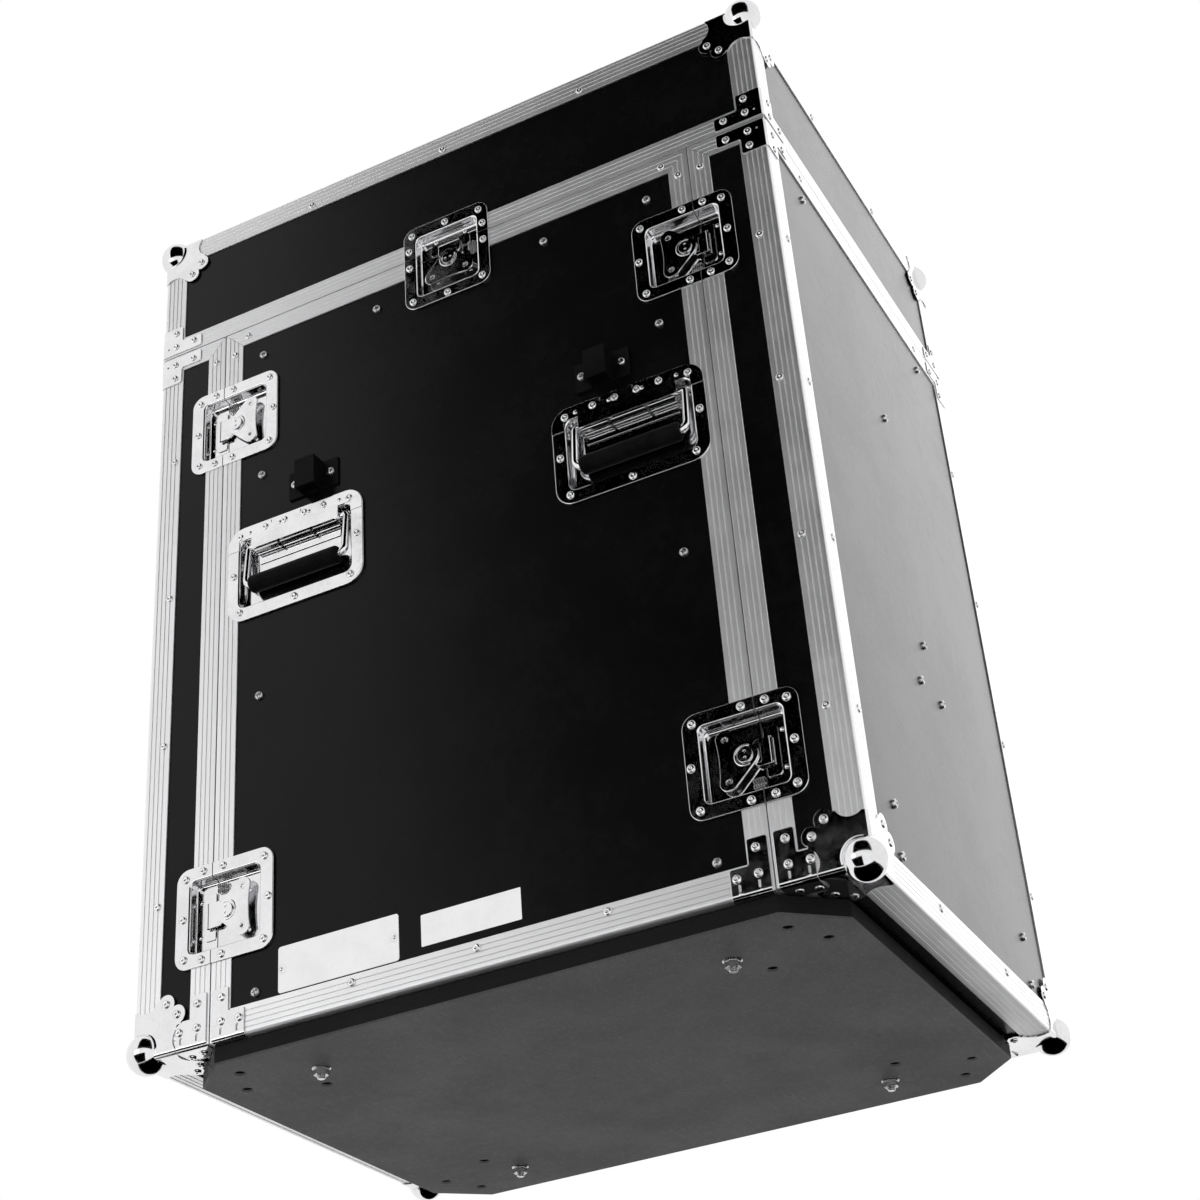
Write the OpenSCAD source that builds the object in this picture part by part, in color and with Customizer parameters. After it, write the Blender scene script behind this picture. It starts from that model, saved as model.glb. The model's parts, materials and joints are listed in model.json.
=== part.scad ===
/* [Case] */
// Outside width, left to right
case_w = 520; // [516:1:600]
// Outside depth over both covers, front to rear
case_d = 742; // [720:1:900]
// Height of the body, from its bottom face to the lid parting
body_h = 826; // [820:1:1000]
// Height of the lid
lid_h = 160; // [130:1:260]
// Depth of each end cover
cover_d = 86.3; // [82:0.1:100]
// Gap left between the body, the covers and the lid
parting_gap = 1; // [0.8:0.1:2]
// Height that a cover clears the bottom face of the body
cover_lift = 0.4; // [0.3:0.1:1]
// Gap between panels or extrusions that butt or mitre together
fit_gap = 0.15; // [0.1:0.05:0.3]

/* [Panels] */
// Thickness of the laminated plywood panels
panel_t = 9.5; // [9:0.1:12]

/* [Extrusions] */
// Width of each flange of the edge angles
edge_w = 29; // [26:0.5:32]
// Thickness of the outer flanges of every extrusion
edge_t = 1.6; // [1.2:0.1:2]
// Width of the outer lip of the parting extrusions
lip_w = 22.5; // [20:0.5:26]
// Width of the inner lip of the parting extrusions
inner_lip_w = 12; // [8:0.5:14]
// Thickness of the inner lip of the parting extrusions
inner_lip_t = 1.5; // [1:0.1:2]
// Thickness of the web over a panel edge
web_t = 2; // [1.5:0.1:3]
// Thickness of the web that holds the groove
groove_web_t = 6; // [5.5:0.1:8]
// Width of the tongue that seals the parting
tongue_w = 3; // [2:0.1:4]
// Height of the tongue above its web
tongue_h = 4; // [3:0.1:4.5]
// Clearance between the tongue and its groove
tongue_play = 0.5; // [0.4:0.1:1]
// Width of each lengthwise shadow line in a flange
line_w = 1.2; // [0.8:0.1:2]
// Depth of each lengthwise shadow line
line_d = 0.4; // [0.2:0.1:0.6]
// Distance between lengthwise shadow lines
line_pitch = 5.4; // [4.5:0.1:7]

/* [Caster board] */
// Distance of the board's ends inside the ends of the case
board_end = 42; // [38:0.5:60]
// Distance of the board's sides inside the sides of the case
board_in = 5; // [3:0.5:12]
// Thickness of the caster board
board_t = 18; // [15:1:25]
// Cut across each corner of the board
board_chamfer = 47; // [30:1:60]
// Diameter of the bolts through the board
bolt_d = 8; // [6:1:10]
// Length of bolt and nut under the board
bolt_stick = 10.8; // [10:0.1:16]
// Diameter of the open caster holes
caster_hole_d = 9; // [8:0.5:11]
// Long pitch of a caster plate
caster_pitch_l = 75; // [70:1:80]
// Short pitch of a caster plate
caster_pitch_w = 45; // [40:1:55]
// Angle at which each caster plate is turned
caster_angle = 27; // [20:1:35]
// Distance of a caster plate's middle from the end of the board
caster_end = 75.7; // [73:0.1:84]
// Distance of a caster plate's middle from the side of the board
caster_in = 69.8; // [68:0.1:75]

/* [Rack] */
// Height of one rack unit
rack_u = 44.45; // [44.45:0.01:44.45]
// Distance of the rack holes from the inner face of the side panel
rack_hole_in = 16.35; // [15:0.05:17]
// Diameter of the rack holes
rack_hole_d = 6.8; // [6.2:0.1:7]
// Thickness of the steel rails
rail_t = 2; // [1.5:0.1:2.5]
// Width of the rail flange that lies on the panel
rail_flange = 35; // [30:1:40]
// Width of a rail's rack face
rack_face_w = 23.9; // [22:0.1:25]
// Distance of the rack faces behind the cover parting
rack_inset = 34.2; // [30:0.1:40]
// Height of the rails above the bottom panel
rack_lift = 5; // [2:0.5:8]
// Distance of the rail screws from the rack face
rail_screw_in = 15.4; // [12:0.1:20]
// Depth of the mixer rails below the lid parting
mixer_drop = 29; // [20:1:36]

/* [Latches] */
// Length of the dish on the body side of the parting
latch_body = 70; // [68:0.5:72]
// Length of the dish on the cover side of the parting
latch_cover = 41.5; // [40:0.5:44]
// Width of the dish along the parting
latch_w = 104; // [102:0.5:108]
// Corner radius of the dishes
latch_r = 14; // [8:0.5:16]
// Pocket length on the body side
pocket_body = 54.5; // [53:0.5:56]
// Pocket length on the cover side
pocket_cover = 25; // [24.5:0.5:27]
// Pocket width along the parting
pocket_w = 74; // [73:0.5:76]
// Thickness of the pressed dishes
dish_t = 1.2; // [1:0.1:1.3]
// Distance of the pivot from the parting
pivot_u = 14.75; // [14:0.25:15.5]
// Diameter of the pivot post
pivot_d = 8; // [7:0.1:9]
// Radial clearance of the wing on its post
pivot_play = 0.06; // [0.05:0.01:0.1]
// Thickness of the wing
wing_t = 2; // [1.6:0.1:2.2]
// Travel of the hook when the wing is turned
hook_travel = 5; // [4:0.5:6]
// Height of the lower side latches
latch_low = 130.8; // [120:0.1:140]
// Distance of the upper side latches below the lid parting
latch_drop = 124.4; // [115:0.1:135]

/* [Handles] */
// Length of the handle dish
handle_l = 165; // [160:1:170]
// Height of the handle dish
handle_h = 113; // [110:1:118]
// Length of the handle pocket
handle_pocket_l = 135; // [133:1:138]
// Height of the handle pocket
handle_pocket_h = 81; // [80:1:85]
// Distance of each handle from the cover parting
handle_in = 92.2; // [90:0.1:104]
// Distance of the handles below the lid parting
handle_drop = 325; // [315:1:345]
// Diameter of the bail rod
bail_d = 8; // [7:0.5:9]
// Distance of the bail arms from the middle of the handle
bail_arm = 60; // [58:0.5:61]
// Distance from the hinge to the grip
bail_reach = 49; // [46:0.5:50]
// Height of the grip's axis above the face of the extrusions
grip_w = 0.2; // [0:0.1:1]
// Diameter of the rubber grip
grip_d = 19; // [17:0.5:19]
// Length of the rubber grip
grip_l = 107; // [100:1:108]

/* [Corners and trim] */
// Diameter of the ball of a corner
ball_d = 35; // [32:0.5:38]
// Depth of the ball's centre inside each face
ball_in = 5.5; // [4:0.5:7]
// Thickness of the corner plates and braces
plate_t = 1.2; // [1:0.1:1.5]
// Diameter of a rivet head
rivet_d = 9.2; // [8:0.1:10]
// Height of a rivet head
rivet_h = 1.3; // [1:0.1:1.6]
// Diameter of a panel screw head
screw_head_d = 10.4; // [9:0.1:12]
// Diameter of a panel screw
screw_d = 5; // [4:0.1:6]
// Distance of the side brackets below the lid parting
bracket_drop = 238; // [226:1:245]
// Distance of the side brackets from the cover parting
bracket_in = 115.2; // [105:0.1:125]

/* [Hidden] */
$fn = 40;

// Levels, counted from the tips of the board bolts
board_z = bolt_stick;
case_z = board_z + board_t + plate_t;
part_z = case_z + body_h;
lid_z = part_z + parting_gap;
top_z = lid_z + lid_h;
// Half sizes
half_w = case_w / 2;
half_d = case_d / 2;
body_y = half_d - cover_d - parting_gap / 2;
cover_y = body_y + parting_gap;
// Depths of the panel's two faces below the outer face of the extrusions
skin = edge_t;
deep = edge_t + panel_t;
frame_t = deep + inner_lip_t;
wall_x = half_w - deep;
wall_y = half_d - deep;
tongue_q = (deep + skin - tongue_w) / 2;
// Caster board and the middles of its caster plates
board_l = case_d - 2 * board_end;
board_w = case_w - 2 * board_in;
caster_y = board_l / 2 - caster_end;
caster_x = board_w / 2 - caster_in;
// Where things sit
rack_z = case_z + deep + rack_lift;
rack_face = body_y - rack_inset;
rack_screw_y = rack_face - rail_screw_in;
rack_screw_low = 38.3;
rack_screw_mid = 351;
rack_screw_drop = 207;
rack_screw_z = [rack_screw_low, rack_screw_mid, body_h - rack_screw_drop];
mixer_z = part_z - mixer_drop;
rack_units = floor((mixer_z - rail_flange - rack_z) / rack_u);
rack_l = rack_units * rack_u;
mixer_units = floor(2 * rack_face / rack_u);
mixer_l = mixer_units * rack_u;
mixer_screw_z = body_h - mixer_drop - rail_flange / 2;
mixer_screw_end = mixer_l / 2 - 9.9;
mixer_screw_y = [-mixer_screw_end, -115.1, 88.7, mixer_screw_end];
rack_holes = [6.35, 22.225, 38.1];
latch_high = body_h - latch_drop;
handle_y = body_y - handle_in;
handle_z = body_h - handle_drop;
bracket_y = body_y - bracket_in;
bracket_z = body_h - bracket_drop;
bracket_screw = 22;
// Levels inside a latch pocket, counted from the outer face of the extrusions
floor_w = -deep + dish_t;
keeper_w = floor_w + dish_t;
keeper_lip = 1.1;
lip_top = keeper_w + keeper_lip;
hook_w = lip_top + 0.4;
hook_t = 2;
hook_half = 9;
wing_w = hook_w + hook_t + 0.5;
pivot_head_w = wing_w + wing_t + 0.2;
lobe_u = 17.4;
lobe_v = 20.4;
lobe_r = 9;
hub_r = 12;
// Handle hinge: its height in the dish, its depth, and the cover over it
hinge_b = 32;
hinge_w = floor_w + bail_d / 2 + 1.3;
hinge_cover = 44;
hinge_bore = bail_d + 5;
bearing_a = 50;
// Rivet places, in the frame of the thing that they hold
latch_body_rivets = [[-12.1, 45.4], [-12.1, -45.4], [-59.7, 42.2], [-59.7, -42.2], [-64.4, 0]];
latch_cover_rivets = [[31, 41.4], [31, -41.4], [33.3, 0], [10.6, 45.4], [10.6, -45.4]];
handle_rivets = [
    for (a = [-67, 67], b = [-46, 46]) [a, b],
    for (a = [-75, 75]) [a, 0],
    [0, -49],
    for (a = [-36, -12, 12, 36]) [a, 48.5]
];
lobe_rivets = [[37, 49.5], [49.5, 37]];
edge_rivet_in = 21.5;
// Numbers spread evenly from first to last
function spread(first, last, count) = [for (i = [0 : count - 1]) first + (last - first) * i / (count - 1)];
// Distances of the end rivets of each row from the ends of its run
side_row_low = 153.4;
side_row_top = 146.3;
short_row_end = 170;
floor_row_end = 154.6;
lid_side_row_end = 200;
lid_top_row_end = 116;
lip_row_end = 93;
side_edge_rivets = spread(side_row_low, body_h - side_row_top, 4);
short_edge_rivets = spread(short_row_end - half_w, half_w - short_row_end, 2);
floor_edge_rivets = spread(floor_row_end - body_y, body_y - floor_row_end, 3);
lid_side_rivets = spread(lid_side_row_end - half_d, half_d - lid_side_row_end, 3);
lid_top_rivets = spread(lid_top_row_end - half_d, half_d - lid_top_row_end, 4);
lip_edge_rivets = spread(lip_row_end - half_w, half_w - lip_row_end, 2);
// Rivets at a top corner of the body: along the cover parting, then along the lid parting
corner_rivet_down = 31.7;
corner_rivet_along = 29.5;
lip_rivet_in = 12;

// Puts local x, y and z along the given directions, with the origin at "at"
module place(at, x, y, z)
    multmatrix([
        [x[0], y[0], z[0], at[0]],
        [x[1], y[1], z[1], at[1]],
        [x[2], y[2], z[2], at[2]],
        [0, 0, 0, 1]
    ]) children();

module both_x() {
    children();
    mirror([1, 0, 0]) children();
}

module both_y() {
    children();
    mirror([0, 1, 0]) children();
}

// Frame on an outer side face: x to the rear, y up from the case bottom, z outwards
module on_side(s) place([s * half_w, 0, case_z], [0, 1, 0], [0, 0, 1], [s, 0, 0]) children();

module on_sides() {
    on_side(-1) children();
    on_side(1) children();
}

// Frame on the outer face of the front cover: x to the right, y up, z outwards
module on_front() place([0, -half_d, case_z], [1, 0, 0], [0, 0, 1], [0, -1, 0]) children();

// Frame of a latch: x from the body across the parting, y along it, z outwards
module on_cover_latch(sx, sy, h)
    place([sx * half_w, sy * (body_y + parting_gap / 2), case_z + h], [0, sy, 0], [0, 0, 1], [sx, 0, 0])
        children();

module on_lid_latch(sx)
    place([sx * half_w, 0, part_z + parting_gap / 2], [0, 0, 1], [0, 1, 0], [sx, 0, 0]) children();

// Every latch of one side
module on_side_latches(sx) {
    for (sy = [-1, 1], h = [latch_low, latch_high]) on_cover_latch(sx, sy, h) children();
    on_lid_latch(sx) children();
}

module on_handle(sx, sy)
    place([sx * half_w, sy * handle_y, case_z + handle_z], [0, 1, 0], [0, 0, 1], [sx, 0, 0]) children();

module round_rect(x0, y0, x1, y1, r) {
    translate([x0 + r, y0]) square([x1 - x0 - 2 * r, y1 - y0]);
    translate([x0, y0 + r]) square([x1 - x0, y1 - y0 - 2 * r]);
    for (x = [x0 + r, x1 - r], y = [y0 + r, y1 - r]) translate([x, y]) circle(r);
}

// --- fasteners -----------------------------------------------------------------------------

// A blind rivet's head, standing on z = 0
module rivet()
    difference() {
        cylinder(h = rivet_h, d1 = rivet_d, d2 = rivet_d * 0.72, $fn = 24);
        translate([0, 0, rivet_h - 0.8]) cylinder(h = 1, d = rivet_d * 0.3, $fn = 16);
    }

module rivets_at(points, level = 0)
    for (p = points) translate([p[0], p[1], level]) rivet();

// A panel screw with its pan head on z = 0
module panel_screw(length) {
    cylinder(h = 1.6, d = screw_head_d);
    translate([0, 0, 1.6]) cylinder(h = 1.7, d1 = screw_head_d, d2 = screw_head_d * 0.55);
    translate([0, 0, -length]) cylinder(h = length, d = screw_d, $fn = 24);
}

module screw_hole(depth) translate([0, 0, -depth]) cylinder(h = depth + 1, d = screw_d + 0.2, $fn = 24);

// --- extrusions ----------------------------------------------------------------------------

// Shadow lines across a flange of the given width, as a row of small squares at y = 0
module shadow_lines(width) {
    count = floor((width - line_pitch) / line_pitch);
    first = (width - (count - 1) * line_pitch) / 2;
    for (i = [0 : count - 1])
        translate([first + i * line_pitch - line_w / 2, -1]) square([line_w, 1 + line_d]);
}

// Prism that trims a run of this length and width; a mitre is 45 degrees in the x-z plane
module trim_prism(length, width, mitre0, mitre1) {
    far = width + 1;
    cut0 = mitre0 ? fit_gap * 1.5 : fit_gap;
    cut1 = length - (mitre1 ? fit_gap * 1.5 : fit_gap);
    rotate([90, 0, 0])
        linear_extrude(2 * far, center = true)
            polygon([
                [-1, mitre0 ? cut0 - 1 : cut0], [far, mitre0 ? cut0 + far : cut0],
                [far, mitre1 ? cut1 - far : cut1], [-1, mitre1 ? cut1 + 1 : cut1]
            ]);
}

// Edge angle along z, its arris at the origin and its flanges along +x and +y
module edge_angle(length, mitre0 = false, mitre1 = false)
    intersection() {
        translate([0, 0, -2])
            linear_extrude(length + 4)
                difference() {
                    square([edge_w, edge_w]);
                    translate([edge_t, edge_t]) square([edge_w, edge_w]);
                    shadow_lines(edge_w);
                    mirror([1, -1, 0]) shadow_lines(edge_w);
                }
        trim_prism(length, edge_w, mitre0, mitre1);
        mirror([1, -1, 0]) trim_prism(length, edge_w, mitre0, mitre1);
    }

// Parting extrusion along z: x runs into the panel from the parting, y inwards from the outer face.
// inset0 and inset1 shorten the inner lip. A grooved run takes the tongue of its partner, and drop
// widens the groove where the partner sits that much further out.
module parting_run(length, web, inset0 = 0, inset1 = 0, mitre0 = false, mitre1 = false,
                   groove = false, drop = 0)
    intersection() {
        union() {
            translate([0, 0, -2])
                linear_extrude(length + 4)
                    difference() {
                        union() {
                            square([lip_w, edge_t]);
                            square([web, deep]);
                        }
                        shadow_lines(lip_w);
                        if (groove)
                            translate([-1, tongue_q - tongue_play - drop])
                                square([
                                    1 + tongue_h - parting_gap + tongue_play,
                                    tongue_w + 2 * tongue_play + drop
                                ]);
                    }
            translate([0, 0, inset0 + fit_gap])
                linear_extrude(length - inset0 - inset1 - 2 * fit_gap)
                    translate([0, deep]) square([inner_lip_w, inner_lip_t]);
        }
        trim_prism(length, lip_w, mitre0, mitre1);
    }

module tongue(length, short0, short1)
    translate([-tongue_h, tongue_q, short0]) cube([tongue_h, tongue_w, length - short0 - short1]);

// --- latch and handle hardware ---------------------------------------------------------------

// Room for a latch in the panels and extrusions of both halves
module latch_cut()
    translate([-pocket_body - dish_t, -pocket_w / 2 - dish_t, -deep])
        cube([pocket_body + pocket_cover + 2 * dish_t, pocket_w + 2 * dish_t, deep + 2]);

// Pressed dish with a pocket that reaches the inner face of the panel
module pressed_dish(flange, pocket)
    difference() {
        union() {
            linear_extrude(dish_t)
                round_rect(flange[0], flange[1], flange[2], flange[3], flange[4]);
            translate([0, 0, -deep])
                linear_extrude(deep)
                    round_rect(pocket[0] - dish_t, pocket[1] - dish_t, pocket[2] + dish_t,
                        pocket[3] + dish_t, pocket[4]);
        }
        translate([0, 0, floor_w])
            linear_extrude(deep + 2)
                round_rect(pocket[0], pocket[1], pocket[2], pocket[3], pocket[4] - dish_t);
    }

latch_flange = [-latch_body, -latch_w / 2, latch_cover, latch_w / 2, latch_r];
latch_pocket = [-pocket_body, -pocket_w / 2, pocket_cover, pocket_w / 2, 7];
handle_flange = [-handle_l / 2, -handle_h / 2, handle_l / 2, handle_h / 2, 20];
handle_pocket = [-handle_pocket_l / 2, -handle_pocket_h / 2, handle_pocket_l / 2, handle_pocket_h / 2, 9];

// Strip that fills the step between a dish flange and the laminate, from x0 to x1
module flange_backing(flange, pocket, x0, x1)
    translate([0, 0, -skin])
        linear_extrude(skin)
            intersection() {
                difference() {
                    round_rect(flange[0], flange[1], flange[2], flange[3], flange[4]);
                    round_rect(pocket[0], pocket[1], pocket[2], pocket[3], pocket[4]);
                }
                translate([x0, flange[1]]) square([x1 - x0, flange[3] - flange[1]]);
            }

// Body half of a latch dish with the post that the wing turns on
module latch_dish() {
    difference() {
        union() {
            pressed_dish(latch_flange, latch_pocket);
            flange_backing(latch_flange, latch_pocket, -latch_body, -lip_w - parting_gap);
        }
        translate([-parting_gap / 2, -latch_w, -deep - 1]) cube([latch_body * 2, latch_w * 2, deep + 5]);
    }
    translate([-pivot_u, 0, floor_w - 0.1]) cylinder(h = pivot_head_w - floor_w + 0.1, d = pivot_d);
    translate([-pivot_u, 0, pivot_head_w])
        difference() {
            cylinder(h = 1.4, d = pivot_d + 5);
            for (v = [-3.4, 3.4]) translate([0, v, 0.5]) cylinder(h = 1, d = 2.4, $fn = 16);
        }
}

// Cover half of a latch dish with the keeper that the hook pulls on
module latch_keeper() {
    difference() {
        union() {
            pressed_dish(latch_flange, latch_pocket);
            flange_backing(latch_flange, latch_pocket, lip_w + parting_gap, latch_cover);
        }
        translate([parting_gap / 2 - latch_body * 2, -latch_w, -deep - 1])
            cube([latch_body * 2, latch_w * 2, deep + 5]);
    }
    translate([1.5, -24, floor_w]) cube([14, 48, dish_t]);
    translate([1.5, -hook_half, floor_w]) cube([2.2, 2 * hook_half, lip_top - floor_w]);
    for (v = [-18, 18]) translate([10, v, keeper_w]) cylinder(h = 1, d1 = 7, d2 = 5, $fn = 20);
}

// Points along an arc about c, from angle a0 to a1
function arc(c, r, a0, a1, steps = 14) =
    [for (i = [0 : steps]) c + r * [cos(a0 + (a1 - a0) * i / steps), sin(a0 + (a1 - a0) * i / steps)]];

module latch_wing()
    color("gainsboro")
        translate([-pivot_u, 0, wing_w])
            difference() {
                linear_extrude(wing_t)
                    polygon(concat(
                        arc([0, 0], hub_r, -105, 105),
                        arc([-lobe_u, lobe_v], lobe_r, 10, 180),
                        arc([-lobe_u, -lobe_v], lobe_r, -180, -10)
                    ));
                translate([0, 0, -1]) cylinder(h = wing_t + 2, d = pivot_d + 2 * pivot_play);
                for (v = [-lobe_v, lobe_v])
                    translate([-lobe_u, v, -1]) cylinder(h = wing_t + 2, d = 5.5, $fn = 24);
            }

module latch_hook() {
    slot = pivot_d / 2 + 0.5;
    tip = 10;
    color("silver")
        difference() {
            union() {
                translate([-pivot_u - slot - hook_travel - 5, -hook_half, hook_w])
                    cube([pivot_u + slot + hook_travel + 5 + tip, 2 * hook_half, hook_t]);
                translate([tip - 2.5, -hook_half, hook_w - 0.3]) cube([2.5, 2 * hook_half, hook_t + 0.3]);
            }
            translate([-pivot_u, 0, hook_w - 1])
                linear_extrude(hook_t + 2) {
                    circle(slot);
                    translate([-hook_travel, 0]) circle(slot);
                    translate([-hook_travel, -slot]) square([hook_travel, 2 * slot]);
                }
        }
}

module handle_dish() {
    pressed_dish(handle_flange, handle_pocket);
    reach = handle_l / 2 - (handle_y + handle_l / 2 - (body_y - lip_w)) - parting_gap;
    flange_backing(handle_flange, handle_pocket, -handle_l / 2, reach);
    // Cover over the hinge rod, riveted to the floor of the pocket
    foot = 12;
    wall = 4;
    wide = hinge_bore + wall;
    translate([-hinge_cover, hinge_b - wide / 2 - foot, floor_w - 0.1])
        cube([2 * hinge_cover, foot, dish_t + 0.1]);
    difference() {
        translate([-hinge_cover, hinge_b - wide / 2, floor_w - 0.1])
            cube([2 * hinge_cover, wide, hinge_w - floor_w + hinge_bore / 2 + 0.5]);
        translate([-hinge_cover - 1, hinge_b, hinge_w])
            rotate([0, 90, 0]) cylinder(h = 2 * hinge_cover + 2, d = hinge_bore);
        translate([-hinge_cover - 1, hinge_b - hinge_bore / 2, floor_w - 1])
            cube([2 * hinge_cover + 2, hinge_bore, hinge_w - floor_w + 1]);
    }
    // Bearings at the two ends of the hinge rod
    bearing = bail_d + 4;
    for (a = [-1, 1])
        difference() {
            translate([a * bearing_a - 2, hinge_b - bearing / 2, floor_w - 0.1])
                cube([4, bearing, hinge_w - floor_w + bearing / 2]);
            translate([a * bearing_a - 3, hinge_b, hinge_w])
                rotate([0, 90, 0]) cylinder(h = 6, d = bail_d + 0.12);
        }
}

// Torsion springs, one at each end of the hinge rod
module handle_spring()
    for (a = [-1, 1])
        translate([a * 38 - 5.5, hinge_b, hinge_w])
            rotate([0, 90, 0])
                difference() {
                    cylinder(h = 11, d = bail_d + 2.4);
                    translate([0, 0, -1]) cylinder(h = 13, d = bail_d + 0.8);
                }

module handle_bail(sx, sy) {
    lean = asin((grip_w - hinge_w) / bail_reach);
    on_handle(sx, sy)
        translate([0, hinge_b, hinge_w])
            rotate([-lean, 0, 0]) {
                color("gainsboro") {
                    translate([-bail_arm, 0, 0]) rotate([0, 90, 0]) cylinder(h = 2 * bail_arm, d = bail_d);
                    for (a = [-bail_arm, bail_arm]) {
                        translate([a, -bail_reach, 0])
                            rotate([-90, 0, 0]) cylinder(h = bail_reach, d = bail_d);
                        translate([a, 0, 0]) sphere(d = bail_d);
                        translate([a, -bail_reach, 0]) sphere(d = bail_d);
                    }
                    translate([-bail_arm, -bail_reach, 0])
                        rotate([0, 90, 0]) cylinder(h = 2 * bail_arm, d = bail_d);
                }
                color("black")
                    translate([-grip_l / 2, -bail_reach, 0])
                        rotate([0, 90, 0]) cylinder(h = grip_l, d = grip_d);
            }
}

// --- corners and braces ----------------------------------------------------------------------

// Outline of one face of a ball corner, its corner at the origin
module corner_leaf() {
    difference() {
        polygon([
            [-plate_t, -plate_t], [48, -plate_t], [40, 24], [56, 32],
            [32, 56], [24, 40], [-plate_t, 48]
        ]);
        translate([58, 12]) circle(15);
        translate([12, 58]) circle(15);
    }
    for (p = lobe_rivets) translate(p) circle(9.5);
}

// Ball corner with its corner at the origin; the case lies along +x, +y and +z
module ball_corner()
    difference() {
        union() {
            translate([ball_in, ball_in, ball_in]) sphere(d = ball_d);
            translate([0, 0, -plate_t]) linear_extrude(plate_t + 1) corner_leaf();
            rotate([90, 0, 0]) translate([0, 0, -1]) linear_extrude(plate_t + 1) corner_leaf();
            rotate([90, 0, 90]) translate([0, 0, -plate_t]) linear_extrude(plate_t + 1) corner_leaf();
        }
        cube([100, 100, 100]);
    }

module ball_rivets() {
    translate([0, 0, -plate_t]) mirror([0, 0, 1]) rivets_at(lobe_rivets);
    translate([0, -plate_t, 0]) rotate([90, 0, 0]) rivets_at(lobe_rivets);
    translate([-plate_t, 0, 0]) rotate([90, 0, 90]) mirror([0, 0, 1]) rivets_at(lobe_rivets);
}

// Brace round a vertical arris at a level parting. The arris is at the origin, z runs away from
// the parting, and the two faces lie along +x and +y.
brace_long = 53;
brace_low = 18.7;
brace_up = 39;
brace_leg = 27;
module brace_leaf() {
    translate([-plate_t, 0]) square([brace_long + plate_t, brace_low]);
    translate([-plate_t, 0]) square([brace_leg + plate_t, brace_up]);
}

module parting_brace()
    difference() {
        union() {
            rotate([90, 0, 0]) linear_extrude(plate_t) brace_leaf();
            mirror([1, -1, 0]) rotate([90, 0, 0]) linear_extrude(plate_t) brace_leaf();
        }
        cube([100, 100, 100]);
    }
brace_rivets = [[18.2, 12.4], [18.2, 31.3], [42.6, 12.4]];

module brace_rivet_set() {
    translate([0, -plate_t, 0]) rotate([90, 0, 0]) rivets_at(brace_rivets);
    mirror([1, -1, 0]) translate([0, -plate_t, 0]) rotate([90, 0, 0]) rivets_at(brace_rivets);
}

// Brace round the bottom arris at a cover parting. x runs away from the parting along the arris,
// y up the side face and z inwards under the bottom.
foot_long = 39;
foot_low = 27;
foot_leg = 21;
foot_up = 51;
foot_under = 24;
module foot_brace()
    difference() {
        union() {
            translate([0, 0, -plate_t])
                linear_extrude(plate_t) {
                    translate([0, -plate_t]) square([foot_long, foot_low + plate_t]);
                    translate([0, -plate_t]) square([foot_leg, foot_up + plate_t]);
                }
            translate([0, -plate_t, -plate_t]) cube([foot_long, plate_t, foot_under + plate_t]);
        }
        cube([100, 100, 100]);
    }
foot_rivets = [[13, 42], [13, 18.4], [33, 17.7]];
foot_under_rivets = [[14.8, 13], [30.8, 17]];

// --- body --------------------------------------------------------------------------------------

module side_panel(s)
    color([0.06, 0.06, 0.065])
        difference() {
            translate([s > 0 ? wall_x : -wall_x - panel_t, -body_y + web_t, case_z + skin])
                cube([panel_t, 2 * (body_y - web_t), body_h - skin - web_t]);
            on_side_latches(s) latch_cut();
            for (sy = [-1, 1])
                on_handle(s, sy)
                    translate([-handle_pocket_l / 2 - dish_t, -handle_pocket_h / 2 - dish_t, -deep - 1])
                        cube([handle_pocket_l + 2 * dish_t, handle_pocket_h + 2 * dish_t, deep + 3]);
            on_side(s) {
                rail_screws() screw_hole(deep + 1);
                bracket_screws(0) screw_hole(deep + 1);
            }
        }

// Places of the screws that hold the rails, on the laminate
module rail_screws() {
    for (y = [-rack_screw_y, rack_screw_y], z = rack_screw_z) translate([y, z, -skin]) children();
    for (y = mixer_screw_y) translate([y, mixer_screw_z, -skin]) children();
}

// Places of the screws that hold the side brackets, at a level above the laminate
module bracket_screws(level)
    for (y = [-bracket_y, bracket_y], a = [-bracket_screw, bracket_screw])
        translate([y + a, bracket_z, level - skin]) children();

module left_side_panel() side_panel(-1);
module right_side_panel() side_panel(1);

module bottom_panel()
    color([0.06, 0.06, 0.065])
        difference() {
            translate([-wall_x, -body_y + web_t, case_z + skin])
                cube([2 * wall_x, 2 * (body_y - web_t), panel_t]);
            at_board_bolts() cylinder(h = case_z + 3 * deep, d = bolt_d + 0.4);
        }

module body_edge_angles()
    color("silver")
        both_x()
            place([-half_w, -body_y + lip_w, case_z], [1, 0, 0], [0, 0, 1], [0, 1, 0])
                edge_angle(2 * (body_y - lip_w));

module body_parting_frame()
    color("silver") {
        difference() {
            both_x() {
                both_y()
                    place([-half_w, -body_y, case_z], [0, 1, 0], [1, 0, 0], [0, 0, 1]) {
                        parting_run(body_h, web_t, frame_t, frame_t, mitre1 = true);
                        tongue(body_h, tongue_h, parting_gap + web_t);
                    }
                place([-half_w, -body_y, part_z], [0, 0, -1], [1, 0, 0], [0, 1, 0]) {
                    parting_run(2 * body_y, web_t, inner_lip_w, inner_lip_w, mitre0 = true, mitre1 = true);
                    tongue(2 * body_y, web_t, web_t);
                }
            }
            on_side_latches(-1) latch_cut();
            on_side_latches(1) latch_cut();
        }
        both_y()
            place([-wall_x, -body_y, case_z], [0, 1, 0], [0, 0, 1], [1, 0, 0]) {
                parting_run(2 * wall_x, web_t);
                tongue(2 * wall_x, tongue_h, tongue_h);
            }
    }

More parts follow.
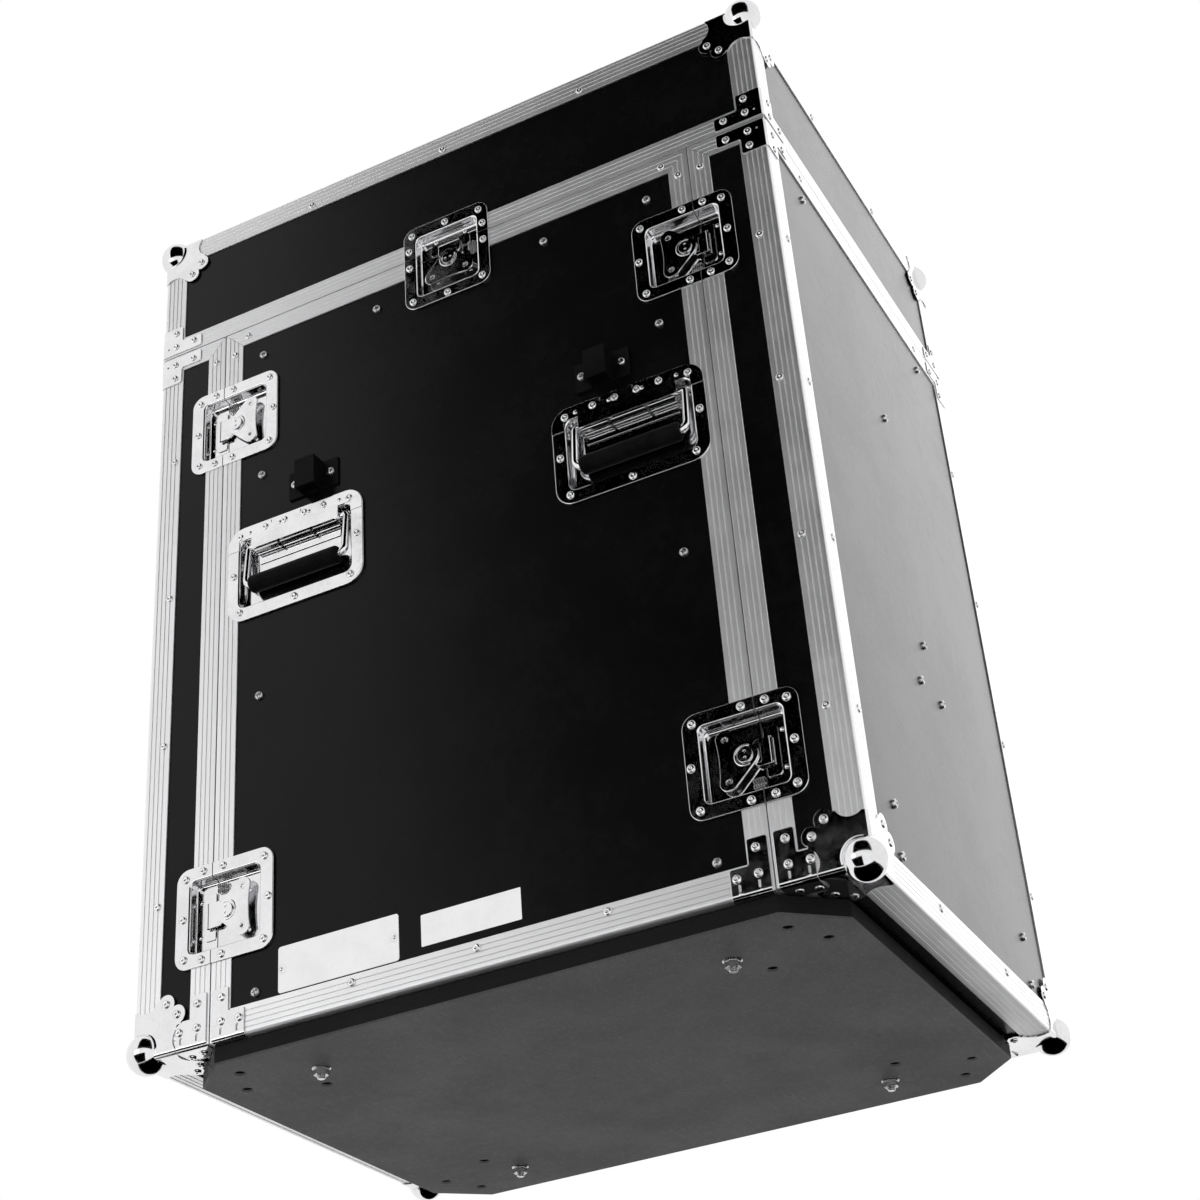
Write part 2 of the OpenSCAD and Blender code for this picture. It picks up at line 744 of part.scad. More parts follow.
module body_corner_braces()
    color("gainsboro")
        both_x() both_y()
            place([-half_w, -body_y, case_z], [0, 1, 0], [0, 0, 1], [1, 0, 0]) foot_brace();

// Shape of the caster board
module board_outline() {
    l = board_l / 2;
    w = board_w / 2;
    c = board_chamfer;
    polygon([
        [w, c - l], [w, l - c], [w - c, l], [c - w, l],
        [-w, l - c], [-w, c - l], [c - w, -l], [w - c, -l]
    ]);
}

// Places of a caster plate's holes in the quarter with x and y above 0; the last takes the bolt
function caster_hole(i, j) = [
    caster_x + i * caster_pitch_l / 2 * sin(caster_angle) + j * caster_pitch_w / 2 * cos(caster_angle),
    caster_y + i * caster_pitch_l / 2 * cos(caster_angle) - j * caster_pitch_w / 2 * sin(caster_angle)
];
open_holes = [caster_hole(1, 1), caster_hole(1, -1), caster_hole(-1, -1)];
bolt_at = caster_hole(-1, 1);

module at_board_bolts()
    for (sx = [-1, 1], sy = [-1, 1]) translate([sx * bolt_at[0], sy * bolt_at[1], 0]) children();

module caster_board()
    color([0.12, 0.12, 0.12])
        translate([0, 0, board_z])
            difference() {
                linear_extrude(board_t) board_outline();
                for (p = open_holes, sx = [-1, 1], sy = [-1, 1])
                    translate([sx * p[0], sy * p[1], -1]) cylinder(h = board_t + 2, d = caster_hole_d);
                translate([0, 0, -board_z]) at_board_bolts() cylinder(h = case_z + 1, d = bolt_d + 0.4);
            }

nut_flange = 18;
module board_bolts()
    color("silver")
        at_board_bolts() {
            cylinder(h = case_z + deep, d = bolt_d);
            translate([0, 0, case_z + deep]) cylinder(h = 3.5, d1 = 18, d2 = 10);
            difference() {
                union() {
                    translate([0, 0, board_z - 1.6]) cylinder(h = 1.6, d = nut_flange);
                    translate([0, 0, board_z - 7.6]) cylinder(h = 6, d = 15, $fn = 6);
                }
                translate([0, 0, -1]) cylinder(h = board_z + 2, d = bolt_d + 0.1);
            }
        }

// --- rails -------------------------------------------------------------------------------------

// One front rack rail on the left; the rear pair is its mirror image
module rack_rail()
    difference() {
        translate([-wall_x, -rack_face, rack_z]) {
            cube([rail_t, rail_flange, rack_l]);
            cube([rack_face_w, rail_t, rack_l]);
        }
        for (u = [0 : rack_units - 1], h = rack_holes)
            translate([rack_hole_in - wall_x, -rack_face - 1, rack_z + u * rack_u + h])
                rotate([-90, 0, 0]) cylinder(h = rail_t + 2, d = rack_hole_d, $fn = 24);
        on_side(-1) rail_screws() screw_hole(deep + rail_t + 1);
    }

module front_rack_rails() color([0.15, 0.15, 0.16]) both_x() rack_rail();
module rear_rack_rails() color([0.15, 0.15, 0.16]) mirror([0, 1, 0]) both_x() rack_rail();

module mixer_rails()
    color([0.15, 0.15, 0.16])
        both_x()
            difference() {
                translate([-wall_x, -mixer_l / 2, mixer_z]) {
                    translate([0, 0, -rail_flange]) cube([rail_t, mixer_l, rail_flange]);
                    translate([0, 0, -rail_t]) cube([rack_face_w, mixer_l, rail_t]);
                }
                for (u = [0 : mixer_units - 1], h = rack_holes)
                    translate([rack_hole_in - wall_x, -mixer_l / 2 + u * rack_u + h, mixer_z - rail_t - 1])
                        cylinder(h = rail_t + 2, d = rack_hole_d, $fn = 24);
                on_side(-1) rail_screws() screw_hole(deep + rail_t + 1);
            }

// --- hardware on the body ----------------------------------------------------------------------

module panel_screws()
    color("silver")
        on_sides() {
            rail_screws() panel_screw(panel_t + rail_t + 3);
            bracket_screws(bracket_wall) panel_screw(panel_t + bracket_wall + 3);
        }

module handle_dishes()
    color("gainsboro")
        for (sx = [-1, 1]) both_y() on_handle(sx, 1) handle_dish();

module handle_springs() color("dimgray") for (sx = [-1, 1], sy = [-1, 1]) on_handle(sx, sy) handle_spring();

module latch_dishes() color("gainsboro") for (sx = [-1, 1]) on_side_latches(sx) latch_dish();

// Socket bracket: a plate with two screw ears and a raised box that is open above and below
bracket_w = 60;
bracket_h = 34;
bracket_box = 24;
bracket_out = 20;
bracket_wall = 2.5;
module side_brackets()
    color([0.03, 0.03, 0.03])
        for (sx = [-1, 1], sy = [-1, 1])
            on_side(sx)
                translate([sy * bracket_y, bracket_z, -skin])
                    difference() {
                        union() {
                            translate([-bracket_w / 2, -bracket_h / 2, 0])
                                cube([bracket_w, bracket_h, bracket_wall]);
                            translate([-bracket_box / 2, -bracket_h / 2, 0])
                                cube([bracket_box, bracket_h, bracket_out]);
                        }
                        translate([bracket_wall - bracket_box / 2, -bracket_h, bracket_wall])
                            cube([
                                bracket_box - 2 * bracket_wall, 2 * bracket_h,
                                bracket_out - 2 * bracket_wall
                            ]);
                        for (a = [-bracket_screw, bracket_screw])
                            translate([a, 0, -1]) cylinder(h = 5, d = screw_d + 0.2, $fn = 24);
                    }

module body_rivets()
    color("silver") {
        for (sx = [-1, 1]) {
            on_side_latches(sx) rivets_at(latch_body_rivets, dish_t);
            for (sy = [-1, 1]) on_handle(sx, sy) rivets_at(handle_rivets, dish_t);
        }
        on_sides() {
            rivets_at([for (y = floor_edge_rivets) [y, edge_rivet_in]]);
            for (s = [-1, 1])
                rivets_at([
                    [s * (body_y - lip_rivet_in), body_h - corner_rivet_down],
                    [s * (body_y - corner_rivet_along), body_h - lip_rivet_in]
                ]);
        }
        both_x() both_y()
            place([-half_w - plate_t, -body_y, case_z], [0, 1, 0], [0, 0, 1], [-1, 0, 0])
                rivets_at(foot_rivets);
    }

// Blank name plate and blank sticker on the left side panel: y range, then z range
name_plate = [79.8, 209.5, 30.6, 76];
name_plate_t = 0.8;
name_plate_rivet = 5;
sticker = [-45.8, 56.7, 37.3, 67.9];
sticker_t = 0.2;
module blank_plates()
    on_side(-1)
        translate([0, 0, -skin]) {
            color("whitesmoke")
                linear_extrude(name_plate_t)
                    round_rect(name_plate[0], name_plate[2], name_plate[1], name_plate[3], 3);
            color("white")
                linear_extrude(sticker_t) round_rect(sticker[0], sticker[2], sticker[1], sticker[3], 1);
            color("silver")
                rivets_at([
                    for (y = [name_plate[0] + name_plate_rivet, name_plate[1] - name_plate_rivet])
                        [y, (name_plate[2] + name_plate[3]) / 2]
                ], name_plate_t);
        }

// --- lid ---------------------------------------------------------------------------------------

module lid_top_panel()
    color([0.06, 0.06, 0.065])
        translate([-wall_x, -wall_y, top_z - deep]) cube([2 * wall_x, 2 * wall_y, panel_t]);

module lid_wall_panels()
    color([0.06, 0.06, 0.065])
        difference() {
            union() {
                for (s = [-1, 1])
                    translate([s > 0 ? wall_x : -wall_x - panel_t, -wall_y - panel_t, lid_z + groove_web_t])
                        cube([panel_t, 2 * (wall_y + panel_t), lid_h - groove_web_t - skin]);
                for (s = [-1, 1])
                    translate([fit_gap - wall_x, s > 0 ? wall_y : -wall_y - panel_t, lid_z + web_t])
                        cube([2 * (wall_x - fit_gap), panel_t, lid_h - web_t - skin]);
            }
            for (s = [-1, 1]) on_lid_latch(s) latch_cut();
        }

module lid_extrusions()
    color("silver") {
        both_x() both_y()
            place([-half_w, -half_d, lid_z + lip_w], [1, 0, 0], [0, 1, 0], [0, 0, 1])
                edge_angle(lid_h - lip_w, mitre1 = true);
        both_x()
            place([-half_w, -half_d, top_z], [1, 0, 0], [0, 0, -1], [0, 1, 0])
                edge_angle(case_d, mitre0 = true, mitre1 = true);
        both_y()
            place([-half_w, -half_d, top_z], [0, 1, 0], [0, 0, -1], [1, 0, 0])
                edge_angle(case_w, mitre0 = true, mitre1 = true);
        difference() {
            both_x()
                place([-half_w, -half_d, lid_z], [0, 0, 1], [1, 0, 0], [0, 1, 0])
                    parting_run(case_d, groove_web_t, frame_t, frame_t, groove = true);
            for (s = [-1, 1]) on_lid_latch(s) latch_cut();
        }
        both_y()
            place([-wall_x, -half_d, lid_z], [0, 0, 1], [0, 1, 0], [1, 0, 0])
                parting_run(2 * wall_x, web_t);
    }

module at_lid_corners()
    both_x() both_y() place([-half_w, -half_d, top_z], [1, 0, 0], [0, 1, 0], [0, 0, -1]) children();

module at_lid_braces()
    both_x() both_y() place([-half_w, -half_d, lid_z], [1, 0, 0], [0, 1, 0], [0, 0, 1]) children();

module lid_ball_corners() color("gainsboro") at_lid_corners() ball_corner();
module lid_corner_braces() color("gainsboro") at_lid_braces() parting_brace();
module lid_keepers() color("gainsboro") for (s = [-1, 1]) on_lid_latch(s) latch_keeper();

module lid_rivets()
    color("silver") {
        at_lid_corners() ball_rivets();
        at_lid_braces() brace_rivet_set();
        for (s = [-1, 1]) on_lid_latch(s) rivets_at(latch_cover_rivets, dish_t);
        on_sides() rivets_at([for (y = lid_side_rivets) [y, top_z - case_z - edge_rivet_in]]);
        both_y() on_front() rivets_at([for (x = short_edge_rivets) [x, top_z - case_z - edge_rivet_in]]);
        translate([0, 0, top_z]) {
            both_x() rivets_at([for (y = lid_top_rivets) [half_w - edge_rivet_in, y]]);
            both_y() rivets_at([for (x = short_edge_rivets) [x, half_d - edge_rivet_in]]);
        }
    }

// --- end covers, drawn as the front one ----------------------------------------------------------

cover_z = case_z + cover_lift;
cover_h = body_h - cover_lift;
cover_run = half_d - cover_y;

module cover_panels()
    color([0.06, 0.06, 0.065])
        difference() {
            union() {
                translate([fit_gap - wall_x, -wall_y - panel_t, cover_z + skin])
                    cube([2 * (wall_x - fit_gap), panel_t, cover_h - skin - web_t]);
                for (s = [-1, 1])
                    translate([s > 0 ? wall_x : -wall_x - panel_t, -half_d + skin, cover_z + skin])
                        cube([panel_t, cover_run - skin - groove_web_t, cover_h - skin - web_t]);
                translate([fit_gap - wall_x, fit_gap - wall_y, cover_z + skin])
                    cube([2 * (wall_x - fit_gap), wall_y - fit_gap - cover_y - groove_web_t, panel_t]);
            }
            for (s = [-1, 1], h = [latch_low, latch_high]) on_cover_latch(s, -1, h) latch_cut();
        }

module cover_extrusions()
    color("silver") {
        both_x() {
            place([-half_w, -half_d, cover_z], [1, 0, 0], [0, 1, 0], [0, 0, 1])
                edge_angle(cover_h - lip_w, mitre0 = true);
            place([-half_w, -half_d, cover_z], [1, 0, 0], [0, 0, 1], [0, 1, 0])
                edge_angle(cover_run - lip_w, mitre0 = true);
            // Short run along the top of each side, then the run down the parting
            place([-half_w, -cover_y, part_z], [0, 0, -1], [1, 0, 0], [0, -1, 0])
                parting_run(cover_run, web_t, inner_lip_w, frame_t, mitre0 = true);
            difference() {
                place([-half_w, -cover_y, cover_z], [0, -1, 0], [1, 0, 0], [0, 0, 1])
                    parting_run(cover_h, groove_web_t, frame_t, frame_t, mitre1 = true, groove = true);
                for (h = [latch_low, latch_high]) on_cover_latch(-1, -1, h) latch_cut();
            }
        }
        place([-half_w, -half_d, cover_z], [0, 1, 0], [0, 0, 1], [1, 0, 0])
            edge_angle(case_w, mitre0 = true, mitre1 = true);
        place([-wall_x, -half_d, part_z], [0, 0, -1], [0, 1, 0], [1, 0, 0])
            parting_run(2 * wall_x, web_t);
        place([-wall_x, -cover_y, cover_z], [0, -1, 0], [0, 0, 1], [1, 0, 0])
            parting_run(2 * wall_x, groove_web_t, groove = true, drop = cover_lift);
    }

module at_cover_balls() both_x() translate([-half_w, -half_d, cover_z]) children();

module at_cover_braces()
    both_x() place([-half_w, -half_d, part_z], [1, 0, 0], [0, 1, 0], [0, 0, -1]) children();

module at_cover_feet()
    both_x() place([-half_w, -cover_y, cover_z], [0, -1, 0], [0, 0, 1], [1, 0, 0]) children();

// Length of the foot brace that the ball corner beside it leaves room for
foot_room = 38;
module cover_corners()
    color("gainsboro") {
        at_cover_balls() ball_corner();
        at_cover_braces() parting_brace();
        at_cover_feet()
            intersection() {
                foot_brace();
                translate([-1, -5, -5]) cube([foot_room, 100, 100]);
            }
    }

module cover_keepers()
    color("gainsboro") for (s = [-1, 1], h = [latch_low, latch_high]) on_cover_latch(s, -1, h) latch_keeper();

module cover_rivets()
    color("silver") {
        at_cover_balls() ball_rivets();
        at_cover_braces() brace_rivet_set();
        at_cover_feet() {
            translate([0, 0, -plate_t]) mirror([0, 0, 1]) rivets_at(foot_rivets);
            translate([0, -plate_t, 0]) rotate([90, 0, 0]) rivets_at(foot_under_rivets);
        }
        for (s = [-1, 1], h = [latch_low, latch_high])
            on_cover_latch(s, -1, h) rivets_at(latch_cover_rivets, dish_t);
        on_sides() {
            rivets_at([for (z = side_edge_rivets) [-half_d + edge_rivet_in, z]]);
            rivets_at([[-cover_y - lip_rivet_in, body_h - corner_rivet_down]]);
        }
        on_front() {
            for (x = [edge_rivet_in - half_w, half_w - edge_rivet_in])
                rivets_at([for (z = side_edge_rivets) [x, z]]);
            rivets_at([for (x = short_edge_rivets) [x, edge_rivet_in]]);
            rivets_at([for (x = lip_edge_rivets) [x, body_h - lip_rivet_in]]);
            translate([0, 0, -skin]) cover_screws() panel_screw(panel_t);
        }
    }

// Places of the screws in the face of a cover, x and z; each one has a twin at the other side
cover_screw_in = 83;
cover_screw_in_high = 92;
cover_screw_drop = 41;
cover_screw_drop_mid = 215;
cover_screw_points = [
    [half_w - cover_screw_in, 38], [half_w - cover_screw_in, 88], [29, 281],
    [half_w - cover_screw_in_high, body_h - cover_screw_drop]
];
cover_screw_middle = [334, body_h - cover_screw_drop_mid];
module cover_screws() {
    for (p = cover_screw_points, s = [-1, 1]) translate([s * p[0], p[1], 0]) children();
    for (z = cover_screw_middle) translate([0, z, 0]) children();
}

module front_cover_panels() cover_face_bored() cover_panels();
module front_cover_extrusions() cover_extrusions();
module front_cover_corners() cover_corners();
module front_cover_keepers() cover_keepers();
module front_cover_rivets() cover_rivets();
module rear_cover_panels() mirror([0, 1, 0]) cover_face_bored() cover_panels();
module rear_cover_extrusions() mirror([0, 1, 0]) cover_extrusions();
module rear_cover_corners() mirror([0, 1, 0]) cover_corners();
module rear_cover_keepers() mirror([0, 1, 0]) cover_keepers();
module rear_cover_rivets() mirror([0, 1, 0]) cover_rivets();

// Bores the screw holes through the face of a cover
module cover_face_bored()
    difference() {
        children();
        on_front() translate([0, 0, -skin]) cover_screws() screw_hole(panel_t + 1);
    }

// --- moving pieces -------------------------------------------------------------------------------

module wing_left_front_low() on_cover_latch(-1, -1, latch_low) latch_wing();
module wing_left_front_high() on_cover_latch(-1, -1, latch_high) latch_wing();
module wing_left_rear_low() on_cover_latch(-1, 1, latch_low) latch_wing();
module wing_left_rear_high() on_cover_latch(-1, 1, latch_high) latch_wing();
module wing_right_front_low() on_cover_latch(1, -1, latch_low) latch_wing();
module wing_right_front_high() on_cover_latch(1, -1, latch_high) latch_wing();
module wing_right_rear_low() on_cover_latch(1, 1, latch_low) latch_wing();
module wing_right_rear_high() on_cover_latch(1, 1, latch_high) latch_wing();
module wing_left_lid() on_lid_latch(-1) latch_wing();
module wing_right_lid() on_lid_latch(1) latch_wing();

module hook_left_front_low() on_cover_latch(-1, -1, latch_low) latch_hook();
module hook_left_front_high() on_cover_latch(-1, -1, latch_high) latch_hook();
module hook_left_rear_low() on_cover_latch(-1, 1, latch_low) latch_hook();
module hook_left_rear_high() on_cover_latch(-1, 1, latch_high) latch_hook();
module hook_right_front_low() on_cover_latch(1, -1, latch_low) latch_hook();
module hook_right_front_high() on_cover_latch(1, -1, latch_high) latch_hook();
module hook_right_rear_low() on_cover_latch(1, 1, latch_low) latch_hook();
module hook_right_rear_high() on_cover_latch(1, 1, latch_high) latch_hook();
module hook_left_lid() on_lid_latch(-1) latch_hook();
module hook_right_lid() on_lid_latch(1) latch_hook();

module bail_left_front() handle_bail(-1, -1);
module bail_left_rear() handle_bail(-1, 1);
module bail_right_front() handle_bail(1, -1);
module bail_right_rear() handle_bail(1, 1);

left_side_panel();
right_side_panel();
bottom_panel();
body_edge_angles();
body_parting_frame();
body_corner_braces();
caster_board();
board_bolts();
front_rack_rails();
rear_rack_rails();
mixer_rails();
panel_screws();
handle_dishes();
handle_springs();
latch_dishes();
side_brackets();
body_rivets();
blank_plates();
lid_top_panel();
lid_wall_panels();
lid_extrusions();
lid_ball_corners();
lid_corner_braces();
lid_keepers();
lid_rivets();
front_cover_panels();
front_cover_extrusions();
front_cover_corners();
front_cover_keepers();
front_cover_rivets();
rear_cover_panels();
rear_cover_extrusions();
rear_cover_corners();
rear_cover_keepers();
rear_cover_rivets();
wing_left_front_low();
wing_left_front_high();
wing_left_rear_low();
wing_left_rear_high();
wing_right_front_low();
wing_right_front_high();
wing_right_rear_low();
wing_right_rear_high();
wing_left_lid();
wing_right_lid();
hook_left_front_low();
hook_left_front_high();
hook_left_rear_low();
hook_left_rear_high();
hook_right_front_low();
hook_right_front_high();
hook_right_rear_low();
hook_right_rear_high();
hook_left_lid();
hook_right_lid();
bail_left_front();
bail_left_rear();
bail_right_front();
bail_right_rear();
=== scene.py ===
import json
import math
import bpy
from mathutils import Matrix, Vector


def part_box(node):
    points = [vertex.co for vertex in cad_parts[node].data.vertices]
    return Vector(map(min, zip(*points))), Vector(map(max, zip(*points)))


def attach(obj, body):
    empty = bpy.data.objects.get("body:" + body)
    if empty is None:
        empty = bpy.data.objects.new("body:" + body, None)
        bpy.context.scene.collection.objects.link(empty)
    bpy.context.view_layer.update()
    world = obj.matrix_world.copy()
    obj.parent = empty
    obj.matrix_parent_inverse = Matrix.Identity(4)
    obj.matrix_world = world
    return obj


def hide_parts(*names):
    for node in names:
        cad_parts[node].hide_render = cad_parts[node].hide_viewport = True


bl_info = {
    "name": "Rack Case Dresser",
    "version": (1, 0, 0),
    "blender": (4, 5, 0),
    "location": "3D View > Sidebar > Rack Case",
    "description": "Dresses a flight case for 19 inch equipment",
    "category": "Object",
}

import bmesh
import bpy
from mathutils import Matrix, Vector
from mathutils.geometry import tessellate_polygon

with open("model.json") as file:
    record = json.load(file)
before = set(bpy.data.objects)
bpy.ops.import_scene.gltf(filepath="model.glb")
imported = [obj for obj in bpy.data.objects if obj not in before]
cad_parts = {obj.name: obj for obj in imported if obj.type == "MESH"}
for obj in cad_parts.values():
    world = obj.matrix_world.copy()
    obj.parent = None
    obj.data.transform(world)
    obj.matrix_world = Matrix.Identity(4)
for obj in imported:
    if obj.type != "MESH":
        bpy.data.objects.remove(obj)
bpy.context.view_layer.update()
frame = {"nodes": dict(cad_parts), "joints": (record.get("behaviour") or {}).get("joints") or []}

# --- sizes taken from the frame, in millimetres ------------------------------------------------


def span(node):
    """Lowest and highest corner of a CAD node, in millimetres."""
    low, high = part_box(node)
    return low * 1000, high * 1000


LID_LOW, LID_HIGH = span("lid_extrusions")
HALF_W, HALF_D, TOP_Z = LID_HIGH
LID_Z = LID_LOW.z
COVER_LOW, COVER_HIGH = span("front_cover_extrusions")
PART_Z = COVER_HIGH.z
COVER_Y = -COVER_HIGH.y
COVER_Z = COVER_LOW.z
GAP = LID_Z - PART_Z
BODY_Y = COVER_Y - GAP
CASE_Z = span("body_edge_angles")[0].z
PANEL_LOW, PANEL_HIGH = span("left_side_panel")
WALL_X = -PANEL_HIGH.x
DEEP = HALF_W - WALL_X
SKIN = DEEP - (PANEL_HIGH.x - PANEL_LOW.x)
BOARD_LOW, BOARD_HIGH = span("caster_board")
PLATE_T = CASE_Z - BOARD_HIGH.z
JOINTS = {joint["name"]: joint for joint in frame["joints"]}
COVERS = ("front_cover", "rear_cover")

# Thickness of a dish, and depths in its pocket from the outer face of the extrusions
DISH_T = 1.2
WALL_T = DISH_T - 0.1
FLOOR = DISH_T - DEEP
HOOK_LEVEL = FLOOR + DISH_T + 1.5
WING_LEVEL = HOOK_LEVEL + 2.5
POST_LEVEL = WING_LEVEL + 2.2
# Outlines of the dishes and pockets: x0, y0, x1, y1 and corner radius
LATCH_FLANGE = (-70, -52, 41.5, 52, 14)
LATCH_POCKET = (-54.5, -37, 25, 37, 5.8)
HANDLE_FLANGE = (-82.5, -56.5, 82.5, 56.5, 20)
HANDLE_POCKET = (-67.5, -40.5, 67.5, 40.5, 7.8)
# Pivot of a latch: its distance from the parting and its radius
PIVOT_U = 14.75
PIVOT_R = 4
# Handle: place and depth of the hinge, half span and reach of the bail, and its grip
HINGE_UP = 32
HINGE_LEVEL = FLOOR + 5.3
BAIL_ARM = 60
BAIL_REACH = 49
BAIL_BEND = 9
HINGE_BEND = 3.5
GRIP_LEVEL = 0.2
GRIP_HALF = 53.5
GRIP_R = 9.5


class RackCaseSizes(bpy.types.PropertyGroup):
    """Sizes of the dressed pieces that can be changed without touching the frame."""

    edge_width: bpy.props.FloatProperty(
        name="Edge Width", description="Width of each flange of the edge angles",
        default=0.029, min=0.026, max=0.032, unit="LENGTH", precision=4)
    lip_width: bpy.props.FloatProperty(
        name="Lip Width", description="Width of the outer lip of the parting extrusions",
        default=0.0225, min=0.02, max=0.026, unit="LENGTH", precision=4)
    arris_radius: bpy.props.FloatProperty(
        name="Arris Radius", description="Rounding of the outer corner of an edge angle",
        default=0.0035, min=0.001, max=0.006, unit="LENGTH", precision=4)
    rib_pitch: bpy.props.FloatProperty(
        name="Rib Pitch", description="Distance between the lengthwise lines of an extrusion",
        default=0.0054, min=0.0045, max=0.007, unit="LENGTH", precision=4)
    rib_width: bpy.props.FloatProperty(
        name="Line Width", description="Width of each lengthwise line",
        default=0.0013, min=0.0006, max=0.002, unit="LENGTH", precision=4)
    rib_depth: bpy.props.FloatProperty(
        name="Line Depth", description="Depth of each lengthwise line",
        default=0.0004, min=0.0002, max=0.0008, unit="LENGTH", precision=5)
    mouth_radius: bpy.props.FloatProperty(
        name="Mouth Radius", description="Rounding where a dish turns down into its pocket",
        default=0.0022, min=0.0005, max=0.003, unit="LENGTH", precision=4)
    floor_radius: bpy.props.FloatProperty(
        name="Floor Radius", description="Rounding between the wall and the floor of a pocket",
        default=0.003, min=0.001, max=0.005, unit="LENGTH", precision=4)
    rivet_diameter: bpy.props.FloatProperty(
        name="Rivet Diameter", description="Diameter of a rivet head",
        default=0.0094, min=0.007, max=0.011, unit="LENGTH", precision=4)
    rivet_height: bpy.props.FloatProperty(
        name="Rivet Height", description="Height of a rivet head",
        default=0.0017, min=0.001, max=0.003, unit="LENGTH", precision=4)
    screw_diameter: bpy.props.FloatProperty(
        name="Screw Diameter", description="Diameter of a panel screw head",
        default=0.0104, min=0.008, max=0.012, unit="LENGTH", precision=4)
    screw_height: bpy.props.FloatProperty(
        name="Screw Height", description="Height of a panel screw head",
        default=0.0033, min=0.002, max=0.004, unit="LENGTH", precision=4)


class RackCaseFinishes(bpy.types.PropertyGroup):
    """Colours and finishes of the case."""

    laminate: bpy.props.FloatVectorProperty(
        name="Laminate", description="Colour of the laminated panels",
        default=(0.0014, 0.0014, 0.0015), size=3, min=0, max=1, subtype="COLOR")
    aluminium: bpy.props.FloatVectorProperty(
        name="Aluminium", description="Colour of the anodised extrusions",
        default=(0.90, 0.90, 0.91), size=3, min=0, max=1, subtype="COLOR")
    chrome: bpy.props.FloatVectorProperty(
        name="Chrome", description="Colour of the plated dishes, corners and braces",
        default=(0.82, 0.82, 0.83), size=3, min=0, max=1, subtype="COLOR")
    zinc: bpy.props.FloatVectorProperty(
        name="Zinc", description="Colour of the bolts, screws and hooks",
        default=(0.72, 0.72, 0.72), size=3, min=0, max=1, subtype="COLOR")
    board: bpy.props.FloatVectorProperty(
        name="Board", description="Colour of the stained caster board",
        default=(0.062, 0.062, 0.062), size=3, min=0, max=1, subtype="COLOR")
    black: bpy.props.FloatVectorProperty(
        name="Black Parts", description="Colour of the brackets, rails and grips",
        default=(0.002, 0.002, 0.002), size=3, min=0, max=1, subtype="COLOR")
    plate: bpy.props.FloatVectorProperty(
        name="Plates", description="Colour of the blank name plate and sticker",
        default=(0.84, 0.84, 0.84), size=3, min=0, max=1, subtype="COLOR")


def sizes():
    return bpy.context.scene.rack_case_sizes


def finishes():
    return bpy.context.scene.rack_case_finishes


def mm(length):
    """A property in metres, as millimetres."""
    return length * 1000


# --- places -------------------------------------------------------------------------------------


X, Y, Z = (1, 0, 0), (0, 1, 0), (0, 0, 1)
LEFT, FORWARD, DOWN = (-1, 0, 0), (0, -1, 0), (0, 0, -1)


def place(at, x, y, z):
    """Frame with its origin at a point and its axes along the given directions, in millimetres."""
    return Matrix((
        (x[0], y[0], z[0], at[0]),
        (x[1], y[1], z[1], at[1]),
        (x[2], y[2], z[2], at[2]),
        (0, 0, 0, 1),
    ))


def mirror(axis):
    """Mirrors across the middle plane square to an axis."""
    scale = Matrix.Identity(4)
    scale[axis][axis] = -1
    return scale


BOTH_X = (Matrix.Identity(4), mirror(0))
BOTH_Y = (Matrix.Identity(4), mirror(1))
FOUR = tuple(mx @ my for mx in BOTH_X for my in BOTH_Y)
FRONT = ("front_cover", Matrix.Identity(4))
REAR = ("rear_cover", mirror(1))


def latches():
    """Name, partner body and frame of each latch: x over the parting, y along it, z outwards."""
    for name, joint in JOINTS.items():
        if not (name.startswith("wing_") and name.endswith("_turn")):
            continue
        pivot = Vector(joint["pos_m"]) * 1000
        side = 1 if pivot.x > 0 else -1
        key = name[len("wing_"):-len("_turn")]
        out = (side, 0, 0)
        if key.endswith("lid"):
            yield key, "lid", place((pivot.x, pivot.y, pivot.z + PIVOT_U), (0, 0, 1), (0, 1, 0), out)
        else:
            end = 1 if pivot.y > 0 else -1
            partner = COVERS[end > 0]
            at = (pivot.x, pivot.y + end * PIVOT_U, pivot.z)
            yield key, partner, place(at, (0, end, 0), (0, 0, 1), out)


def handles():
    """Name and frame of each handle: x to the rear, y up, z outwards, its origin mid dish."""
    for name, joint in JOINTS.items():
        if name.startswith("bail_"):
            hinge = Vector(joint["pos_m"]) * 1000
            side = 1 if hinge.x > 0 else -1
            at = (side * HALF_W, hinge.y, hinge.z - HINGE_UP)
            yield name[:-len("_swing")], place(at, (0, 1, 0), (0, 0, 1), (side, 0, 0))


# --- outlines -----------------------------------------------------------------------------------


def arc(centre, radius, start, end, steps=8):
    """Points along an arc, its angles in degrees."""
    angles = [math.radians(start + (end - start) * i / steps) for i in range(steps + 1)]
    return [(centre[0] + radius * math.cos(a), centre[1] + radius * math.sin(a)) for a in angles]


def circle(radius, steps, centre=(0, 0)):
    """Outline of a circle, its first point not repeated."""
    return arc(centre, radius, 0, 360, steps)[:-1]


def rounded_box(box, grow=0, steps=6):
    """Outline of a rounded rectangle x0, y0, x1, y1, radius, grown by an amount."""
    x0, y0, x1, y1, radius = box
    r = max(radius + grow, 0.3)
    x0, y0, x1, y1 = x0 - grow + r, y0 - grow + r, x1 + grow - r, y1 + grow - r
    corners = ((x1, y1, 0), (x0, y1, 90), (x0, y0, 180), (x1, y0, 270))
    return [p for x, y, a in corners for p in arc((x, y), r, a, a + 90, steps)]


